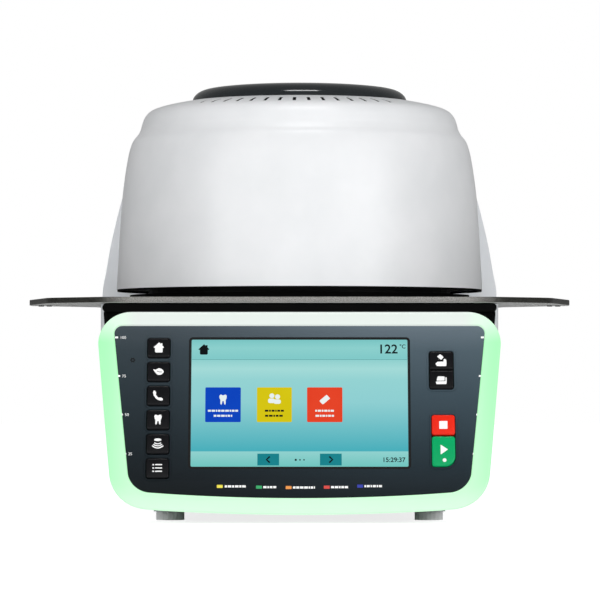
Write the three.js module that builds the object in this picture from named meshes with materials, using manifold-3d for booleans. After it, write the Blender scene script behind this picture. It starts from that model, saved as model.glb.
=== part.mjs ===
// A table-top dental furnace: a tilting round firing head over a cooling tray, on a base with
// a slanted touch panel in a light ring. Millimetres, +X right, +Y back, +Z up, and the origin
// is at the middle of the footprint, on the table.
import * as THREE from "three";
import { mergeVertices } from "three/addons/utils/BufferGeometryUtils.js";
import Module from "manifold-3d";

const wasm = await Module();
wasm.setup();

// Fits that the whole part shares
const seat = 0.3; // gap between pieces that rest on or in one another
const overrun = 2; // how far a cut runs past the face that it opens
const weld = 1e-4; // vertices nearer than this are one vertex
const wall = 3; // moulded housings
const sheet = 2.5; // metal plates

// Reaches in plan, from the middle of the firing chamber
const hoodRadius = 147; // outside, at the rim
const hingeInset = 10; // the hinge lies under the rear of the hood's rim
const hingeY = hoodRadius - hingeInset;
const columnBehindHinge = 78;
const baseFrontReach = 150;
const rearY = hingeY + columnBehindHinge;
const baseFrontY = -baseFrontReach;

// Base and tray heights
const footHeight = 7;
const footRadius = 11;
const footSideInset = 12; // from the edge of the flat underside
const footEndInset = 30;
const bottomPlateLow = footHeight + seat;
const bottomPlateTop = bottomPlateLow + sheet;
const baseLow = bottomPlateTop + seat;
const deckTop = 166.9;
const trayThickness = 4.6;
const trayLow = deckTop + seat;
const trayTop = trayLow + trayThickness;

// The slanted panel leans back from its foot; it stands out so far that its top clears the base
const panelTilt = THREE.MathUtils.degToRad(18);
const ringDepth = 12;
const ringBelowTray = 7.1;
const ringBackFit = 3.84;
const panelFootZ = footHeight;
const panelRise = trayLow - ringBelowTray - panelFootZ;
const panelReach = panelRise * Math.tan(panelTilt) + ringDepth * Math.cos(panelTilt) + ringBackFit;
const frontY = baseFrontY - panelReach;
const depthOverall = rearY - frontY;

// Base housing in plan
const baseRearHalf = 163;
const baseTaper = 10.5; // each side is this much further in at the front
const baseFrontHalf = baseRearHalf - baseTaper;
const baseStraightRun = 115; // the rear stretch of the sides, past the taper
const baseTaperEndY = rearY - baseStraightRun;
const baseFrontRadius = 14;
const baseRearRadius = 20;
const baseLean = 30; // each side is this much further in at the foot than at the deck
const baseFootHalf = baseRearHalf - baseLean;
const baseFootRadius = 21; // round the lower edges of the two sides
const undersideHalf = baseFootHalf - baseFootRadius;

// Hinge of the head
const hingeRise = 109.1;
const hingeZ = deckTop + hingeRise;
const seamLean = Math.atan(1 / 5.5);
const crownRadius = 24; // the column's top front edge is round about the hinge
const seamGap = 3.1;
const shaftRadius = 8;

const materials = {
  shell: { color: 0xdfe1e2, roughness: 0.38, metalness: 0 },
  cap: { color: 0x353c40, roughness: 0.32, metalness: 0 },
  fascia: { color: 0x2b3238, roughness: 0.45, metalness: 0 },
  lightRing: { color: 0xcffbd8, roughness: 0.3, metalness: 0 },
  glass: { color: 0x4fb4c0, roughness: 0.12, metalness: 0 },
  blackKey: { color: 0x1e1d20, roughness: 0.35, metalness: 0 },
  redKey: { color: 0xd6282c, roughness: 0.35, metalness: 0 },
  greenKey: { color: 0x1f9a44, roughness: 0.35, metalness: 0 },
  tray: { color: 0x8d8a80, roughness: 0.4, metalness: 0.9 },
  darkPlastic: { color: 0x1c1f21, roughness: 0.5, metalness: 0 },
  rubber: { color: 0x151617, roughness: 0.8, metalness: 0 },
  paleRubber: { color: 0xb4b7b8, roughness: 0.8, metalness: 0 },
  steel: { color: 0xb4b8bb, roughness: 0.3, metalness: 1 },
  zincPlate: { color: 0x9da2a4, roughness: 0.45, metalness: 0.9 },
  fibre: { color: 0xf1ebdd, roughness: 0.95, metalness: 0 },
  quartz: { color: 0xe8e6e0, roughness: 0.25, metalness: 0 },
  heatingWire: { color: 0x6b5a4c, roughness: 0.55, metalness: 0.8 },
  siliconCarbide: { color: 0x4b4a4a, roughness: 0.7, metalness: 0 },
  circuitBoard: { color: 0x1d5a38, roughness: 0.5, metalness: 0 },
};

const furnace = new THREE.Group();

function toSolid(geometry) {
  const bare = geometry.index ? geometry.toNonIndexed() : geometry.clone();
  bare.deleteAttribute("normal");
  bare.deleteAttribute("uv");
  const merged = mergeVertices(bare, weld);
  const corners = merged.index.array;
  const kept = [];
  for (let i = 0; i < corners.length; i += 3) {
    const [a, b, c] = corners.slice(i, i + 3);
    if (a !== b && b !== c && a !== c) kept.push(a, b, c);
  }
  const mesh = new wasm.Mesh({
    numProp: 3,
    vertProperties: merged.attributes.position.array,
    triVerts: new Uint32Array(kept),
  });
  return new wasm.Manifold(mesh);
}

function toGeometry(solid) {
  const mesh = solid.getMesh();
  const geometry = new THREE.BufferGeometry();
  geometry.setAttribute("position", new THREE.BufferAttribute(mesh.vertProperties.slice(), mesh.numProp));
  geometry.setIndex(new THREE.BufferAttribute(mesh.triVerts.slice(), 1));
  geometry.computeVertexNormals();
  return geometry;
}

function place(name, solid, material, parent = furnace) {
  const mesh = new THREE.Mesh(toGeometry(solid), new THREE.MeshStandardMaterial(materials[material]));
  mesh.name = name;
  parent.add(mesh);
  return mesh;
}

// Outlines are lists of [across, up]; a corner [across, up, radius] is rounded.
const roundSteps = 4;

function rounded(corners, steps = roundSteps) {
  const points = [];
  corners.forEach(([x, y, radius = 0], i) => {
    const corner = new THREE.Vector2(x, y);
    if (!radius) {
      points.push([x, y]);
      return;
    }
    const before = corners.at(i - 1);
    const after = corners[(i + 1) % corners.length];
    const back = new THREE.Vector2(before[0], before[1]).sub(corner).normalize();
    const ahead = new THREE.Vector2(after[0], after[1]).sub(corner).normalize();
    const half = Math.acos(back.dot(ahead)) / 2;
    const middle = back.clone().add(ahead).normalize();
    const centre = middle.multiplyScalar(radius / Math.sin(half)).add(corner);
    const start = back.multiplyScalar(radius / Math.tan(half)).add(corner).sub(centre).angle();
    const end = ahead.multiplyScalar(radius / Math.tan(half)).add(corner).sub(centre).angle();
    const turn = Math.atan2(Math.sin(end - start), Math.cos(end - start));
    for (let k = 0; k <= steps; k++) {
      const angle = start + (turn * k) / steps;
      points.push([centre.x + radius * Math.cos(angle), centre.y + radius * Math.sin(angle)]);
    }
  });
  return points;
}

function circle(radius, segments, acrossCentre = 0, upCentre = 0) {
  return Array.from({ length: segments }, (_, k) => {
    const angle = (2 * Math.PI * (k + 1 / 2)) / segments;
    return [acrossCentre + radius * Math.cos(angle), upCentre + radius * Math.sin(angle)];
  });
}

function rectangle(left, right, low, high, radius = 0) {
  return rounded([
    [left, low, radius],
    [right, low, radius],
    [right, high, radius],
    [left, high, radius],
  ]);
}

// Each axis takes outlines in the other two: x takes [y, z], y takes [x, z], z takes [x, y].
const axisFrames = {
  x: [new THREE.Vector3(0, 1, 0), new THREE.Vector3(0, 0, 1), new THREE.Vector3(1, 0, 0)],
  y: [new THREE.Vector3(1, 0, 0), new THREE.Vector3(0, 0, 1), new THREE.Vector3(0, -1, 0)],
  z: [new THREE.Vector3(1, 0, 0), new THREE.Vector3(0, 1, 0), new THREE.Vector3(0, 0, 1)],
};

function prism(axis, outline, low, high, holes = []) {
  const asVectors = (points) => points.map(([x, y]) => new THREE.Vector2(x, y));
  const shape = new THREE.Shape(asVectors(outline));
  holes.forEach((hole) => shape.holes.push(new THREE.Path(asVectors(hole))));
  const geometry = new THREE.ExtrudeGeometry(shape, { depth: high - low, bevelEnabled: false });
  geometry.translate(0, 0, axis === "y" ? -high : low);
  geometry.applyMatrix4(new THREE.Matrix4().makeBasis(...axisFrames[axis]));
  return toSolid(geometry);
}

function box(left, right, front, back, low, high) {
  return prism("z", rectangle(left, right, front, back), low, high);
}

function rod(axis, radius, low, high, segments, acrossCentre = 0, upCentre = 0) {
  return prism(axis, circle(radius, segments, acrossCentre, upCentre), low, high);
}

// A profile of [radius, height] points turned round the Z axis.
function turned(profile, segments) {
  const area = profile.reduce((sum, [r, z], i) => {
    const [nextR, nextZ] = profile[(i + 1) % profile.length];
    return sum + r * nextZ - nextR * z;
  }, 0);
  const points = (area > 0 ? profile : [...profile].reverse()).map(([r, z]) => new THREE.Vector2(r, z));
  points.push(points[0].clone());
  const geometry = new THREE.LatheGeometry(points, segments);
  geometry.rotateX(Math.PI / 2);
  return toSolid(geometry);
}

function tube(innerRadius, outerRadius, low, high, segments) {
  const profile = [
    [innerRadius, low],
    [outerRadius, low],
    [outerRadius, high],
    [innerRadius, high],
  ];
  return turned(profile, segments);
}

function joined(...solids) {
  return solids.reduce((whole, next) => whole.add(next));
}

function cut(solid, ...tools) {
  return tools.reduce((rest, tool) => rest.subtract(tool), solid);
}

const both = [-1, 1];

// Where a plane parallel to the head's rear seam, at a distance in front of the hinge, has height z
function seamY(distance, z) {
  return hingeY - distance / Math.cos(seamLean) + (z - hingeZ) * Math.tan(seamLean);
}

const headSeam = crownRadius + seamGap;

// Base housing, bottom plate and feet
function basePlan(inset) {
  const frontHalf = baseFrontHalf - inset;
  const rearHalf = baseRearHalf - inset;
  const frontRadius = baseFrontRadius - inset;
  const rearRadius = baseRearRadius - inset;
  return rounded([
    [-frontHalf, baseFrontY + inset, frontRadius],
    [frontHalf, baseFrontY + inset, frontRadius],
    [rearHalf, baseTaperEndY],
    [rearHalf, rearY - inset, rearRadius],
    [-rearHalf, rearY - inset, rearRadius],
    [-rearHalf, baseTaperEndY],
  ]);
}

// The base from the front: its sides lean in and turn under at the foot
function baseFrontView(inset) {
  const low = baseLow + inset;
  const footRound = baseFootRadius - inset;
  return rounded([
    [-baseFootHalf + inset, low, footRound],
    [baseFootHalf - inset, low, footRound],
    [baseRearHalf - inset, deckTop],
    [-baseRearHalf + inset, deckTop],
  ]);
}

function baseSolid(inset) {
  return prism("z", basePlan(inset), baseLow, deckTop - inset).intersect(
    prism("y", baseFrontView(inset), baseFrontY, rearY),
  );
}

// Openings in the base: a window as shares of the half width and height of its wall
const baseHeight = deckTop - baseLow;
const rearWindowShares = { half: 0.675, low: 0.076, high: 0.828 };
const cableWindowShares = { half: 0.62, low: 0.19, high: 0.733 };
const serviceFrame = { side: 35, rear: 11, beforeHinge: 31 };
const openingRadius = 6;
const rearWindow = {
  half: rearWindowShares.half * baseRearHalf,
  low: baseLow + rearWindowShares.low * baseHeight,
  high: baseLow + rearWindowShares.high * baseHeight,
};
const cableWindow = {
  half: cableWindowShares.half * baseFrontHalf,
  low: baseLow + cableWindowShares.low * baseHeight,
  high: baseLow + cableWindowShares.high * baseHeight,
};
const serviceOpening = {
  half: baseRearHalf - serviceFrame.side,
  front: hingeY - serviceFrame.beforeHinge,
  back: rearY - serviceFrame.rear,
};

// Firing base, plate and the seal on the tray
const roundSegments = 40;
const firingBaseRadius = 48;
const firingBaseDepth = 40;
const firingBaseFit = 0.6;
const firingFlangeRadius = 54;
const flangeThickness = 2.3;
const flangeLow = trayTop + seat;
const flangeTop = flangeLow + flangeThickness;
const firingPlateRadius = 38;
const firingPlateThickness = 4;
const sealPlateInset = 13;
const drumInset = 25.5;
const sealRingInset = 9.5;
const sealRingWidth = 4;
const drumRadius = hoodRadius - drumInset;
const sealPlateRadius = hoodRadius - sealPlateInset;
const sealRingOuter = drumRadius - sealRingInset;
const sealRingInner = sealRingOuter - sealRingWidth;
const sealRingHeight = 1.3;
const sealRingLow = flangeTop + seat;
const sealTop = sealRingLow + sealRingHeight;
const boreSegments = 28;

// The open underside, with a lip all round for the bottom plate
const undersideLip = 7;
const undersideOpening = rectangle(
  -undersideHalf + undersideLip,
  undersideHalf - undersideLip,
  baseFrontY + undersideLip,
  rearY - undersideLip,
  openingRadius,
);

const baseHousing = cut(
  baseSolid(0),
  baseSolid(wall),
  prism("z", undersideOpening, baseLow - overrun, baseLow + wall + overrun),
  prism(
    "y",
    rectangle(-rearWindow.half, rearWindow.half, rearWindow.low, rearWindow.high, openingRadius),
    rearY - wall - overrun,
    rearY + overrun,
  ),
  prism(
    "y",
    rectangle(-cableWindow.half, cableWindow.half, cableWindow.low, cableWindow.high, openingRadius),
    baseFrontY - overrun,
    baseFrontY + wall + overrun,
  ),
  prism(
    "z",
    rectangle(
      -serviceOpening.half,
      serviceOpening.half,
      serviceOpening.front,
      serviceOpening.back,
      openingRadius,
    ),
    deckTop - wall - overrun,
    deckTop + overrun,
  ),
  rod("z", firingBaseRadius + firingBaseFit, deckTop - wall - overrun, deckTop + overrun, boreSegments),
);
place("base_housing", baseHousing, "shell");

const bottomVent = { count: 6, length: 60, width: 5, pitch: 14, radius: 2 };
const bottomVents = Array.from({ length: bottomVent.count }, (_, k) => {
  const y = (k - (bottomVent.count - 1) / 2) * bottomVent.pitch;
  const half = bottomVent.length / 2;
  return rectangle(-half, half, y - bottomVent.width / 2, y + bottomVent.width / 2, bottomVent.radius);
});
const bottomPlateInset = 1.5;
const bottomPlateOutline = rectangle(
  -undersideHalf,
  undersideHalf,
  baseFrontY + bottomPlateInset,
  rearY - bottomPlateInset,
  openingRadius,
);
const bottomPlate = prism("z", bottomPlateOutline, bottomPlateLow, bottomPlateTop, bottomVents);
place("bottom_plate", bottomPlate, "zincPlate");

const footSegments = 20;
const footFront = [undersideHalf - footSideInset, baseFrontY + footEndInset];
const footRear = [undersideHalf - footSideInset, rearY - footEndInset];
const footPlaces = {
  foot_front_left: [-footFront[0], footFront[1]],
  foot_front_right: footFront,
  foot_rear_left: [-footRear[0], footRear[1]],
  foot_rear_right: footRear,
};
for (const [name, [x, y]] of Object.entries(footPlaces)) {
  place(name, rod("z", footRadius, 0, footHeight, footSegments, x, y), "paleRubber");
}

// Cooling tray with its two wings
const tray = {
  wing: 62.5, // how far each wing stands out past the front of the base
  overhang: 10,
  shoulderDrop: 20,
  shoulderBack: 38,
  tipFrontBack: 126,
  tipLength: 16,
  slantBack: 58,
  frontMargin: 2.5,
  rearMargin: 3,
  columnClearance: 4.8,
  tipRadius: 7,
  cornerRadius: 30,
};
const trayHalf = baseFrontHalf + tray.wing;
const trayFrontY = baseFrontY - tray.overhang;
const trayTipFrontY = trayFrontY + tray.tipFrontBack;
const trayTipRearY = trayTipFrontY + tray.tipLength;
const trayRearY = seamY(crownRadius, trayLow) - tray.columnClearance;
const coolingHoles = { radius: 3, pitchX: 12, pitchY: 14, columns: 2, rows: 4, inset: 23, back: 8 };
const holeSegments = 8;
const studSegments = 12;

function trayOutline() {
  const right = [
    [baseFrontHalf - tray.frontMargin, trayFrontY, tray.cornerRadius],
    [trayHalf - tray.shoulderDrop, trayFrontY + tray.shoulderBack, tray.cornerRadius],
    [trayHalf, trayTipFrontY, tray.tipRadius],
    [trayHalf, trayTipRearY, tray.tipRadius],
    [baseRearHalf + tray.rearMargin, trayTipRearY + tray.slantBack],
    [baseRearHalf - tray.rearMargin, trayRearY],
  ];
  const left = right.map(([x, ...rest]) => [-x, ...rest]).reverse();
  return rounded([...right, ...left]);
}

function trayHoles() {
  const holes = [];
  for (const side of both) {
    for (let column = 0; column < coolingHoles.columns; column++) {
      for (let row = 0; row < coolingHoles.rows; row++) {
        const x = trayHalf - coolingHoles.inset - column * coolingHoles.pitchX;
        const y = trayTipFrontY + coolingHoles.back - row * coolingHoles.pitchY;
        holes.push(circle(coolingHoles.radius, holeSegments, side * x, y));
      }
    }
  }
  return holes;
}

// Two short studs stand down from the plate under each tip
const trayStud = { radius: 2.2, drop: 0.9, inset: 10, pitch: 6.4, behindTipFront: -10 };

function trayStuds() {
  const studs = [];
  for (const side of both) {
    for (const step of [0, 1]) {
      const x = trayHalf - trayStud.inset - step * trayStud.pitch;
      const y = trayTipFrontY + trayStud.behindTipFront;
      const low = trayLow - trayStud.drop;
      studs.push(rod("z", trayStud.radius, low, trayLow + seat, studSegments, side * x, y));
    }
  }
  return studs;
}

const trayBore = circle(firingBaseRadius + firingBaseFit, boreSegments);
const trayPlate = prism("z", trayOutline(), trayLow, trayTop, [trayBore, ...trayHoles()]);
place("cooling_tray", joined(trayPlate, ...trayStuds()), "tray");

const sealPlate = cut(
  tube(firingFlangeRadius + seat, sealPlateRadius, flangeLow, flangeTop, roundSegments),
  box(-sealPlateRadius, sealPlateRadius, trayRearY - seat, sealPlateRadius, trayTop, flangeTop + overrun),
);
place("tray_seal_plate", sealPlate, "darkPlastic");
const sealRingRearY = trayRearY - wall;
const sealRing = cut(
  tube(sealRingInner, sealRingOuter, sealRingLow, sealTop, roundSegments),
  box(-sealPlateRadius, sealPlateRadius, sealRingRearY, sealPlateRadius, flangeTop, sealTop + overrun),
);
const sealBar = box(
  -Math.sqrt(sealRingInner ** 2 - sealRingRearY ** 2) - seat,
  Math.sqrt(sealRingInner ** 2 - sealRingRearY ** 2) + seat,
  sealRingRearY - (sealRingOuter - sealRingInner),
  sealRingRearY,
  sealRingLow,
  sealTop,
);
place("head_seal", joined(sealRing, sealBar), "rubber");

const firingBaseProfile = [
  [0, trayTop - firingBaseDepth],
  [firingBaseRadius, trayTop - firingBaseDepth],
  [firingBaseRadius, flangeLow],
  [firingFlangeRadius, flangeLow],
  [firingFlangeRadius, flangeTop],
  [0, flangeTop],
];
place("firing_base", turned(firingBaseProfile, boreSegments), "fibre");
const firingPlateLow = flangeTop + seat;
const firingPlateTop = firingPlateLow + firingPlateThickness;
const firingPlate = rod("z", firingPlateRadius, firingPlateLow, firingPlateTop, boreSegments);
place("firing_plate", firingPlate, "siliconCarbide");

// Slanted panel: its own frame has x across, y up the panel and z out of it
const panelGroup = new THREE.Group();
panelGroup.position.set(0, frontY, panelFootZ);
panelGroup.rotation.x = Math.PI / 2 - panelTilt;
furnace.add(panelGroup);

const ringPastBase = 3.3;
const ringDraw = 14.8; // each side leans in this much towards the foot
const ring = {
  height: panelRise / Math.cos(panelTilt),
  topHalf: baseFrontHalf + ringPastBase,
  bottomHalf: baseFrontHalf + ringPastBase - ringDraw,
  sag: 6,
  topRadius: 25,
  bottomRadius: 30,
};
// The visible band of the ring round the fascia
const band = { top: 10.6, bottom: 13.5, topSide: 13.8, bottomSide: 13, bottomCorner: 12 };
const fascia = {
  low: band.bottom,
  high: ring.height - band.top,
  topHalf: ring.topHalf - band.topSide,
  bottomHalf: ring.bottomHalf - band.bottomSide,
  sag: (ring.sag * (ring.bottomHalf - band.bottomSide)) / ring.bottomHalf,
  topRadius: 6,
  bottomRadius: ring.bottomRadius - band.bottomCorner,
  recess: 1,
  thickness: 3,
};
const arcPoints = 8;

// A panel outline whose sides lean in towards the foot and whose bottom edge sags in the middle
function panelOutline({ low, high, topHalf, bottomHalf, sag, topRadius, bottomRadius }) {
  const bottom = [];
  for (let k = 1; k < arcPoints; k++) {
    const across = (2 * k) / arcPoints - 1;
    bottom.push([across * bottomHalf, low + sag * across ** 2]);
  }
  return rounded([
    [-bottomHalf, low + sag, bottomRadius],
    ...bottom,
    [bottomHalf, low + sag, bottomRadius],
    [topHalf, high, topRadius],
    [-topHalf, high, topRadius],
  ]);
}

function fasciaOutline(inset) {
  return panelOutline({
    low: fascia.low + inset,
    high: fascia.high - inset,
    topHalf: fascia.topHalf - inset,
    bottomHalf: fascia.bottomHalf - inset,
    sag: fascia.sag,
    topRadius: fascia.topRadius,
    bottomRadius: fascia.bottomRadius - inset,
  });
}

// The ring runs level to the rear, so its outline is sheared back upright out of the leaning panel
const ringOutline = panelOutline({ ...ring, low: 0, high: ring.height });
const levelBack = new THREE.Matrix4().makeShear(0, 0, 0, 0, 0, -Math.tan(panelTilt));
const ringBlock = prism("z", ringOutline, -ringDepth, 0).transform(levelBack.elements);
const lightRing = cut(ringBlock, prism("z", fasciaOutline(0), -ringDepth - overrun, overrun));
place("light_ring", lightRing, "lightRing", panelGroup);

// Screen and keys on the panel, as [centre across, centre up, half width, half height]
const screenMargin = { side: 45.1, bottom: 23.9, top: 10.3 };
const screen = {
  half: fascia.bottomHalf - screenMargin.side,
  low: fascia.low + screenMargin.bottom,
  high: fascia.high - screenMargin.top,
  radius: 2,
  thickness: 2.4,
};
const keyFit = 0.3;
const keyProud = 1.6; // how far a key stands out of the fascia
const keyTravel = 0.8;
const keyStop = 0.2; // left between a pressed key and the board
const keyRadius = 2;
const keySteps = 2;
const leftKeyNames = ["key_home", "key_program", "key_phone", "key_tooth", "key_pulse", "key_setup"];
const leftKey = { fromSide: 21, fromTop: 18.3, fromBottom: 23.1, halfWidth: 8.6, between: 3.3 };
const leftKeyTop = fascia.high - leftKey.fromTop;
const leftKeyPitch = (leftKeyTop - fascia.low - leftKey.fromBottom) / (leftKeyNames.length - 1);
const keyLayout = {};
leftKeyNames.forEach((name, k) => {
  const x = leftKey.fromSide - fascia.bottomHalf;
  const y = leftKeyTop - k * leftKeyPitch;
  keyLayout[name] = [x, y, leftKey.halfWidth, (leftKeyPitch - leftKey.between) / 2];
});
const headKey = { fromSide: 20.3, fromTop: 28.1, pitch: 15.8, halfWidth: 9.2, between: 1.4 };
["key_open_head", "key_close_head"].forEach((name, k) => {
  const x = fascia.bottomHalf - headKey.fromSide;
  const y = fascia.high - headKey.fromTop - k * headKey.pitch;
  keyLayout[name] = [x, y, headKey.halfWidth, (headKey.pitch - headKey.between) / 2];
});
const runKey = { fromSide: 19.3, halfWidth: 8.8, startRadius: 8 };
const runKeyRows = { key_stop: { rise: 57.2, half: 8 }, key_start: { rise: 36.3, half: 11.9 } };
for (const [name, { rise, half }] of Object.entries(runKeyRows)) {
  keyLayout[name] = [fascia.bottomHalf - runKey.fromSide, fascia.low + rise, runKey.halfWidth, half];
}

function keyOutline(name, grow) {
  const [x, y, halfWidth, halfHeight] = keyLayout[name];
  const lowerRight = name === "key_start" ? runKey.startRadius : keyRadius;
  const corners = [
    [x - halfWidth - grow, y - halfHeight - grow, keyRadius + grow],
    [x + halfWidth + grow, y - halfHeight - grow, lowerRight + grow],
    [x + halfWidth + grow, y + halfHeight + grow, keyRadius + grow],
    [x - halfWidth - grow, y + halfHeight + grow, keyRadius + grow],
  ];
  return rounded(corners, keySteps);
}

const screenOutline = rectangle(-screen.half, screen.half, screen.low, screen.high, screen.radius);
const fasciaFront = -fascia.recess;
const fasciaBack = fasciaFront - fascia.thickness;
const windowInset = 0.8; // the fascia's edge laps over the screen
const keyHoles = Object.keys(keyLayout).map((name) => keyOutline(name, keyFit));
const screenWindow = rectangle(
  -screen.half + windowInset,
  screen.half - windowInset,
  screen.low + windowInset,
  screen.high - windowInset,
  screen.radius,
);
const fasciaPlate = prism("z", fasciaOutline(seat), fasciaBack, fasciaFront, [screenWindow, ...keyHoles]);
place("operating_panel", fasciaPlate, "fascia", panelGroup);

const screenGlass = prism("z", screenOutline, fasciaBack - seat - screen.thickness, fasciaBack - seat);
const windowGlassInset = windowInset + seat;
const raisedGlass = prism(
  "z",
  rectangle(
    -screen.half + windowGlassInset,
    screen.half - windowGlassInset,
    screen.low + windowGlassInset,
    screen.high - windowGlassInset,
    screen.radius,
  ),
  fasciaBack - screen.thickness,
  fasciaFront - seat,
);
place("display_screen", joined(screenGlass, raisedGlass), "glass", panelGroup);

const boardFront = fasciaBack - seat - screen.thickness - seat;
const boardThickness = 1.6;
const boardFit = 0.6;
const board = prism("z", fasciaOutline(boardFit), boardFront - boardThickness, boardFront);
place("control_board", board, "circuitBoard", panelGroup);

const keyColours = { key_stop: "redKey", key_start: "greenKey" };
for (const name of Object.keys(keyLayout)) {
  const keyBack = boardFront + keyTravel + keyStop;
  const key = prism("z", keyOutline(name, 0), keyBack, fasciaFront + keyProud);
  place(name, key, keyColours[name] ?? "blackKey", panelGroup);
}

// Casing that carries the slanted panel on the upright front wall of the base
const casingMargin = { bottom: 7, top: 0.3, topSide: 1.5, bottomSide: 5 };
const casing = {
  low: footHeight + casingMargin.bottom,
  high: trayLow - casingMargin.top,
  topHalf: baseFrontHalf - casingMargin.topSide,
  bottomHalf: ring.bottomHalf - casingMargin.bottomSide,
  topRadius: 8,
  bottomRadius: 36,
};

function casingOutline(inset) {
  return rounded([
    [-casing.bottomHalf + inset, casing.low + inset, casing.bottomRadius - inset],
    [casing.bottomHalf - inset, casing.low + inset, casing.bottomRadius - inset],
    [casing.topHalf - inset, casing.high - inset, casing.topRadius - inset],
    [-casing.topHalf + inset, casing.high - inset, casing.topRadius - inset],
  ]);
}

const casingBackY = baseFrontY - seat;
const behindRing = new THREE.Group();
behindRing.position.copy(panelGroup.position);
behindRing.rotation.copy(panelGroup.rotation);
behindRing.updateMatrix();
const frontCut = toSolid(
  new THREE.BoxGeometry(depthOverall, depthOverall, depthOverall)
    .translate(0, 0, depthOverall / 2 - ringDepth - seat)
    .applyMatrix4(behindRing.matrix),
);
const casingShell = cut(
  prism("y", casingOutline(0), frontY, casingBackY),
  prism("y", casingOutline(wall), frontY - overrun, casingBackY + overrun),
  frontCut,
);
// A brow closes the gap between the ring's top and the tray
const brow = { low: panelFootZ + panelRise + seat, reach: 6, radius: 3 };
const casingBrow = prism(
  "y",
  rectangle(-casing.topHalf, casing.topHalf, brow.low, casing.high, brow.radius),
  casingBackY - brow.reach,
  casingBackY,
);
place("panel_casing", joined(casingShell, casingBrow), "darkPlastic");

// Head housing: a round hood turned about Z, flat at the rear along the seam
const hoodHeight = 150.8;
const rimAboveSeal = 4.5;
const crownRing = 60.7; // from the rim's radius to the cap's
const crownDepth = 12; // from the hood's top to its inner roof
const capLedge = 26.3;
const hood = {
  rimLow: sealTop + rimAboveSeal,
  rimRadius: hoodRadius,
  top: sealTop + rimAboveSeal + hoodHeight,
  capRadius: hoodRadius - crownRing,
  ventHole: hoodRadius - crownRing - capLedge,
};
// radius as a share of the rim radius, height as a share of the hood's height
const hoodShares = [
  [1, 0],
  [0.9694, 0.4874],
  [0.9476, 0.6399],
  [0.9252, 0.7692],
  [0.9061, 0.8017],
  [0.8762, 0.8335],
  [0.8653, 0.8654],
  [0.8544, 0.8979],
  [0.8401, 0.9297],
  [0.802, 0.9615],
  [0.7551, 0.9715],
];
const hoodSegments = 48;

function hoodProfile(inset) {
  const side = hoodShares.map(([radiusShare, heightShare]) => [
    radiusShare * hood.rimRadius - inset,
    Math.min(hood.rimLow + heightShare * hoodHeight, hood.top - inset) - inset * heightShare ** 4,
  ]);
  const ledge = [hood.capRadius + wall - inset, hood.top - inset];
  return [[0, hood.rimLow], ...side, ledge, [0, hood.top - inset]];
}

function inFrontOfSeam(distance, low, high) {
  const outline = [
    [-depthOverall, low],
    [seamY(distance, low), low],
    [seamY(distance, high), high],
    [-depthOverall, high],
  ];
  return prism("x", outline, -depthOverall, depthOverall);
}

const vents = {
  pastCap: 15.2,
  length: 14.5,
  width: 2.6,
  pitchDegrees: 5.75,
  perArc: 15,
  firstDegrees: -42.3,
};

function ventSlots() {
  const slots = [];
  const slotMiddle = hood.capRadius + vents.pastCap + vents.length / 2;
  for (let arc = 0; arc < 2; arc++) {
    for (let k = 0; k < vents.perArc; k++) {
      const fromFront = THREE.MathUtils.degToRad(vents.firstDegrees + k * vents.pitchDegrees) + arc * Math.PI;
      const slot = new THREE.BoxGeometry(vents.length, vents.width, crownDepth);
      slot.translate(slotMiddle, 0, hood.top - crownDepth / 2);
      slot.rotateZ(fromFront - Math.PI / 2);
      slots.push(toSolid(slot));
    }
  }
  return slots;
}

// Carrier arms inside the head, their shaft, and the openings that they need
const armHalfHeight = 7;
const arm = {
  x: 60,
  halfWidth: 6,
  low: hingeZ - armHalfHeight,
  high: hingeZ + armHalfHeight,
  bossRadius: 11,
};
const armFit = 0.4;
const hoodInnerTop = hood.top - crownDepth;
const hoodOuter = turned(hoodProfile(0), hoodSegments).intersect(
  inFrontOfSeam(headSeam, hood.rimLow - overrun, hood.top + overrun),
);
const hoodInner = turned(hoodProfile(wall), hoodSegments).intersect(
  inFrontOfSeam(headSeam + wall, hood.rimLow - overrun, hood.top + overrun),
);
const hoodOpenings = both.map((side) =>
  box(
    side * arm.x - arm.halfWidth - armFit,
    side * arm.x + arm.halfWidth + armFit,
    seamY(headSeam + wall, arm.low) - wall,
    hingeY,
    arm.low - armFit,
    arm.high + armFit,
  ),
);
const floorPlateLow = sealTop + seat;
const rimMouth = turned(
  [
    [0, hood.rimLow - overrun],
    [hood.rimRadius - wall, hood.rimLow - overrun],
    [hood.rimRadius - wall, hood.rimLow + seat],
    [0, hood.rimLow + seat],
  ],
  hoodSegments,
).intersect(inFrontOfSeam(headSeam + wall, floorPlateLow, hood.top));
const hoodVent = rod("z", hood.ventHole, hoodInnerTop, hood.top + overrun, boreSegments);
const headHousing = cut(hoodOuter, hoodInner, rimMouth, hoodVent, ...hoodOpenings, ...ventSlots());
place("head_housing", headHousing, "shell");

// Dark cap on top of the head, from its middle out to its edge as shares of its radius and height
const cap = { low: hood.top + seat, height: 12.4, wall: 2.5, hollowInset: 9 };
const capShares = [
  [0, 1],
  [0.7, 0.95],
  [0.89, 0.76],
  [0.935, 0.61],
  [0.975, 0.42],
  [0.995, 0.2],
];
const capCrown = capShares.map(([radiusShare, heightShare]) => [
  radiusShare * hood.capRadius,
  cap.low + heightShare * cap.height,
]);
const [crownMiddle, crownSlope, crownShoulder] = capCrown;
const capProfile = [
  ...capCrown,
  [hood.capRadius, cap.low],
  [hood.capRadius - cap.wall, cap.low],
  [hood.capRadius - cap.hollowInset, crownShoulder[1] - cap.wall],
  [crownSlope[0], crownSlope[1] - cap.wall],
  [crownMiddle[0], crownMiddle[1] - cap.wall],
];
place("head_cap", turned(capProfile, hoodSegments), "cap");

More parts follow.
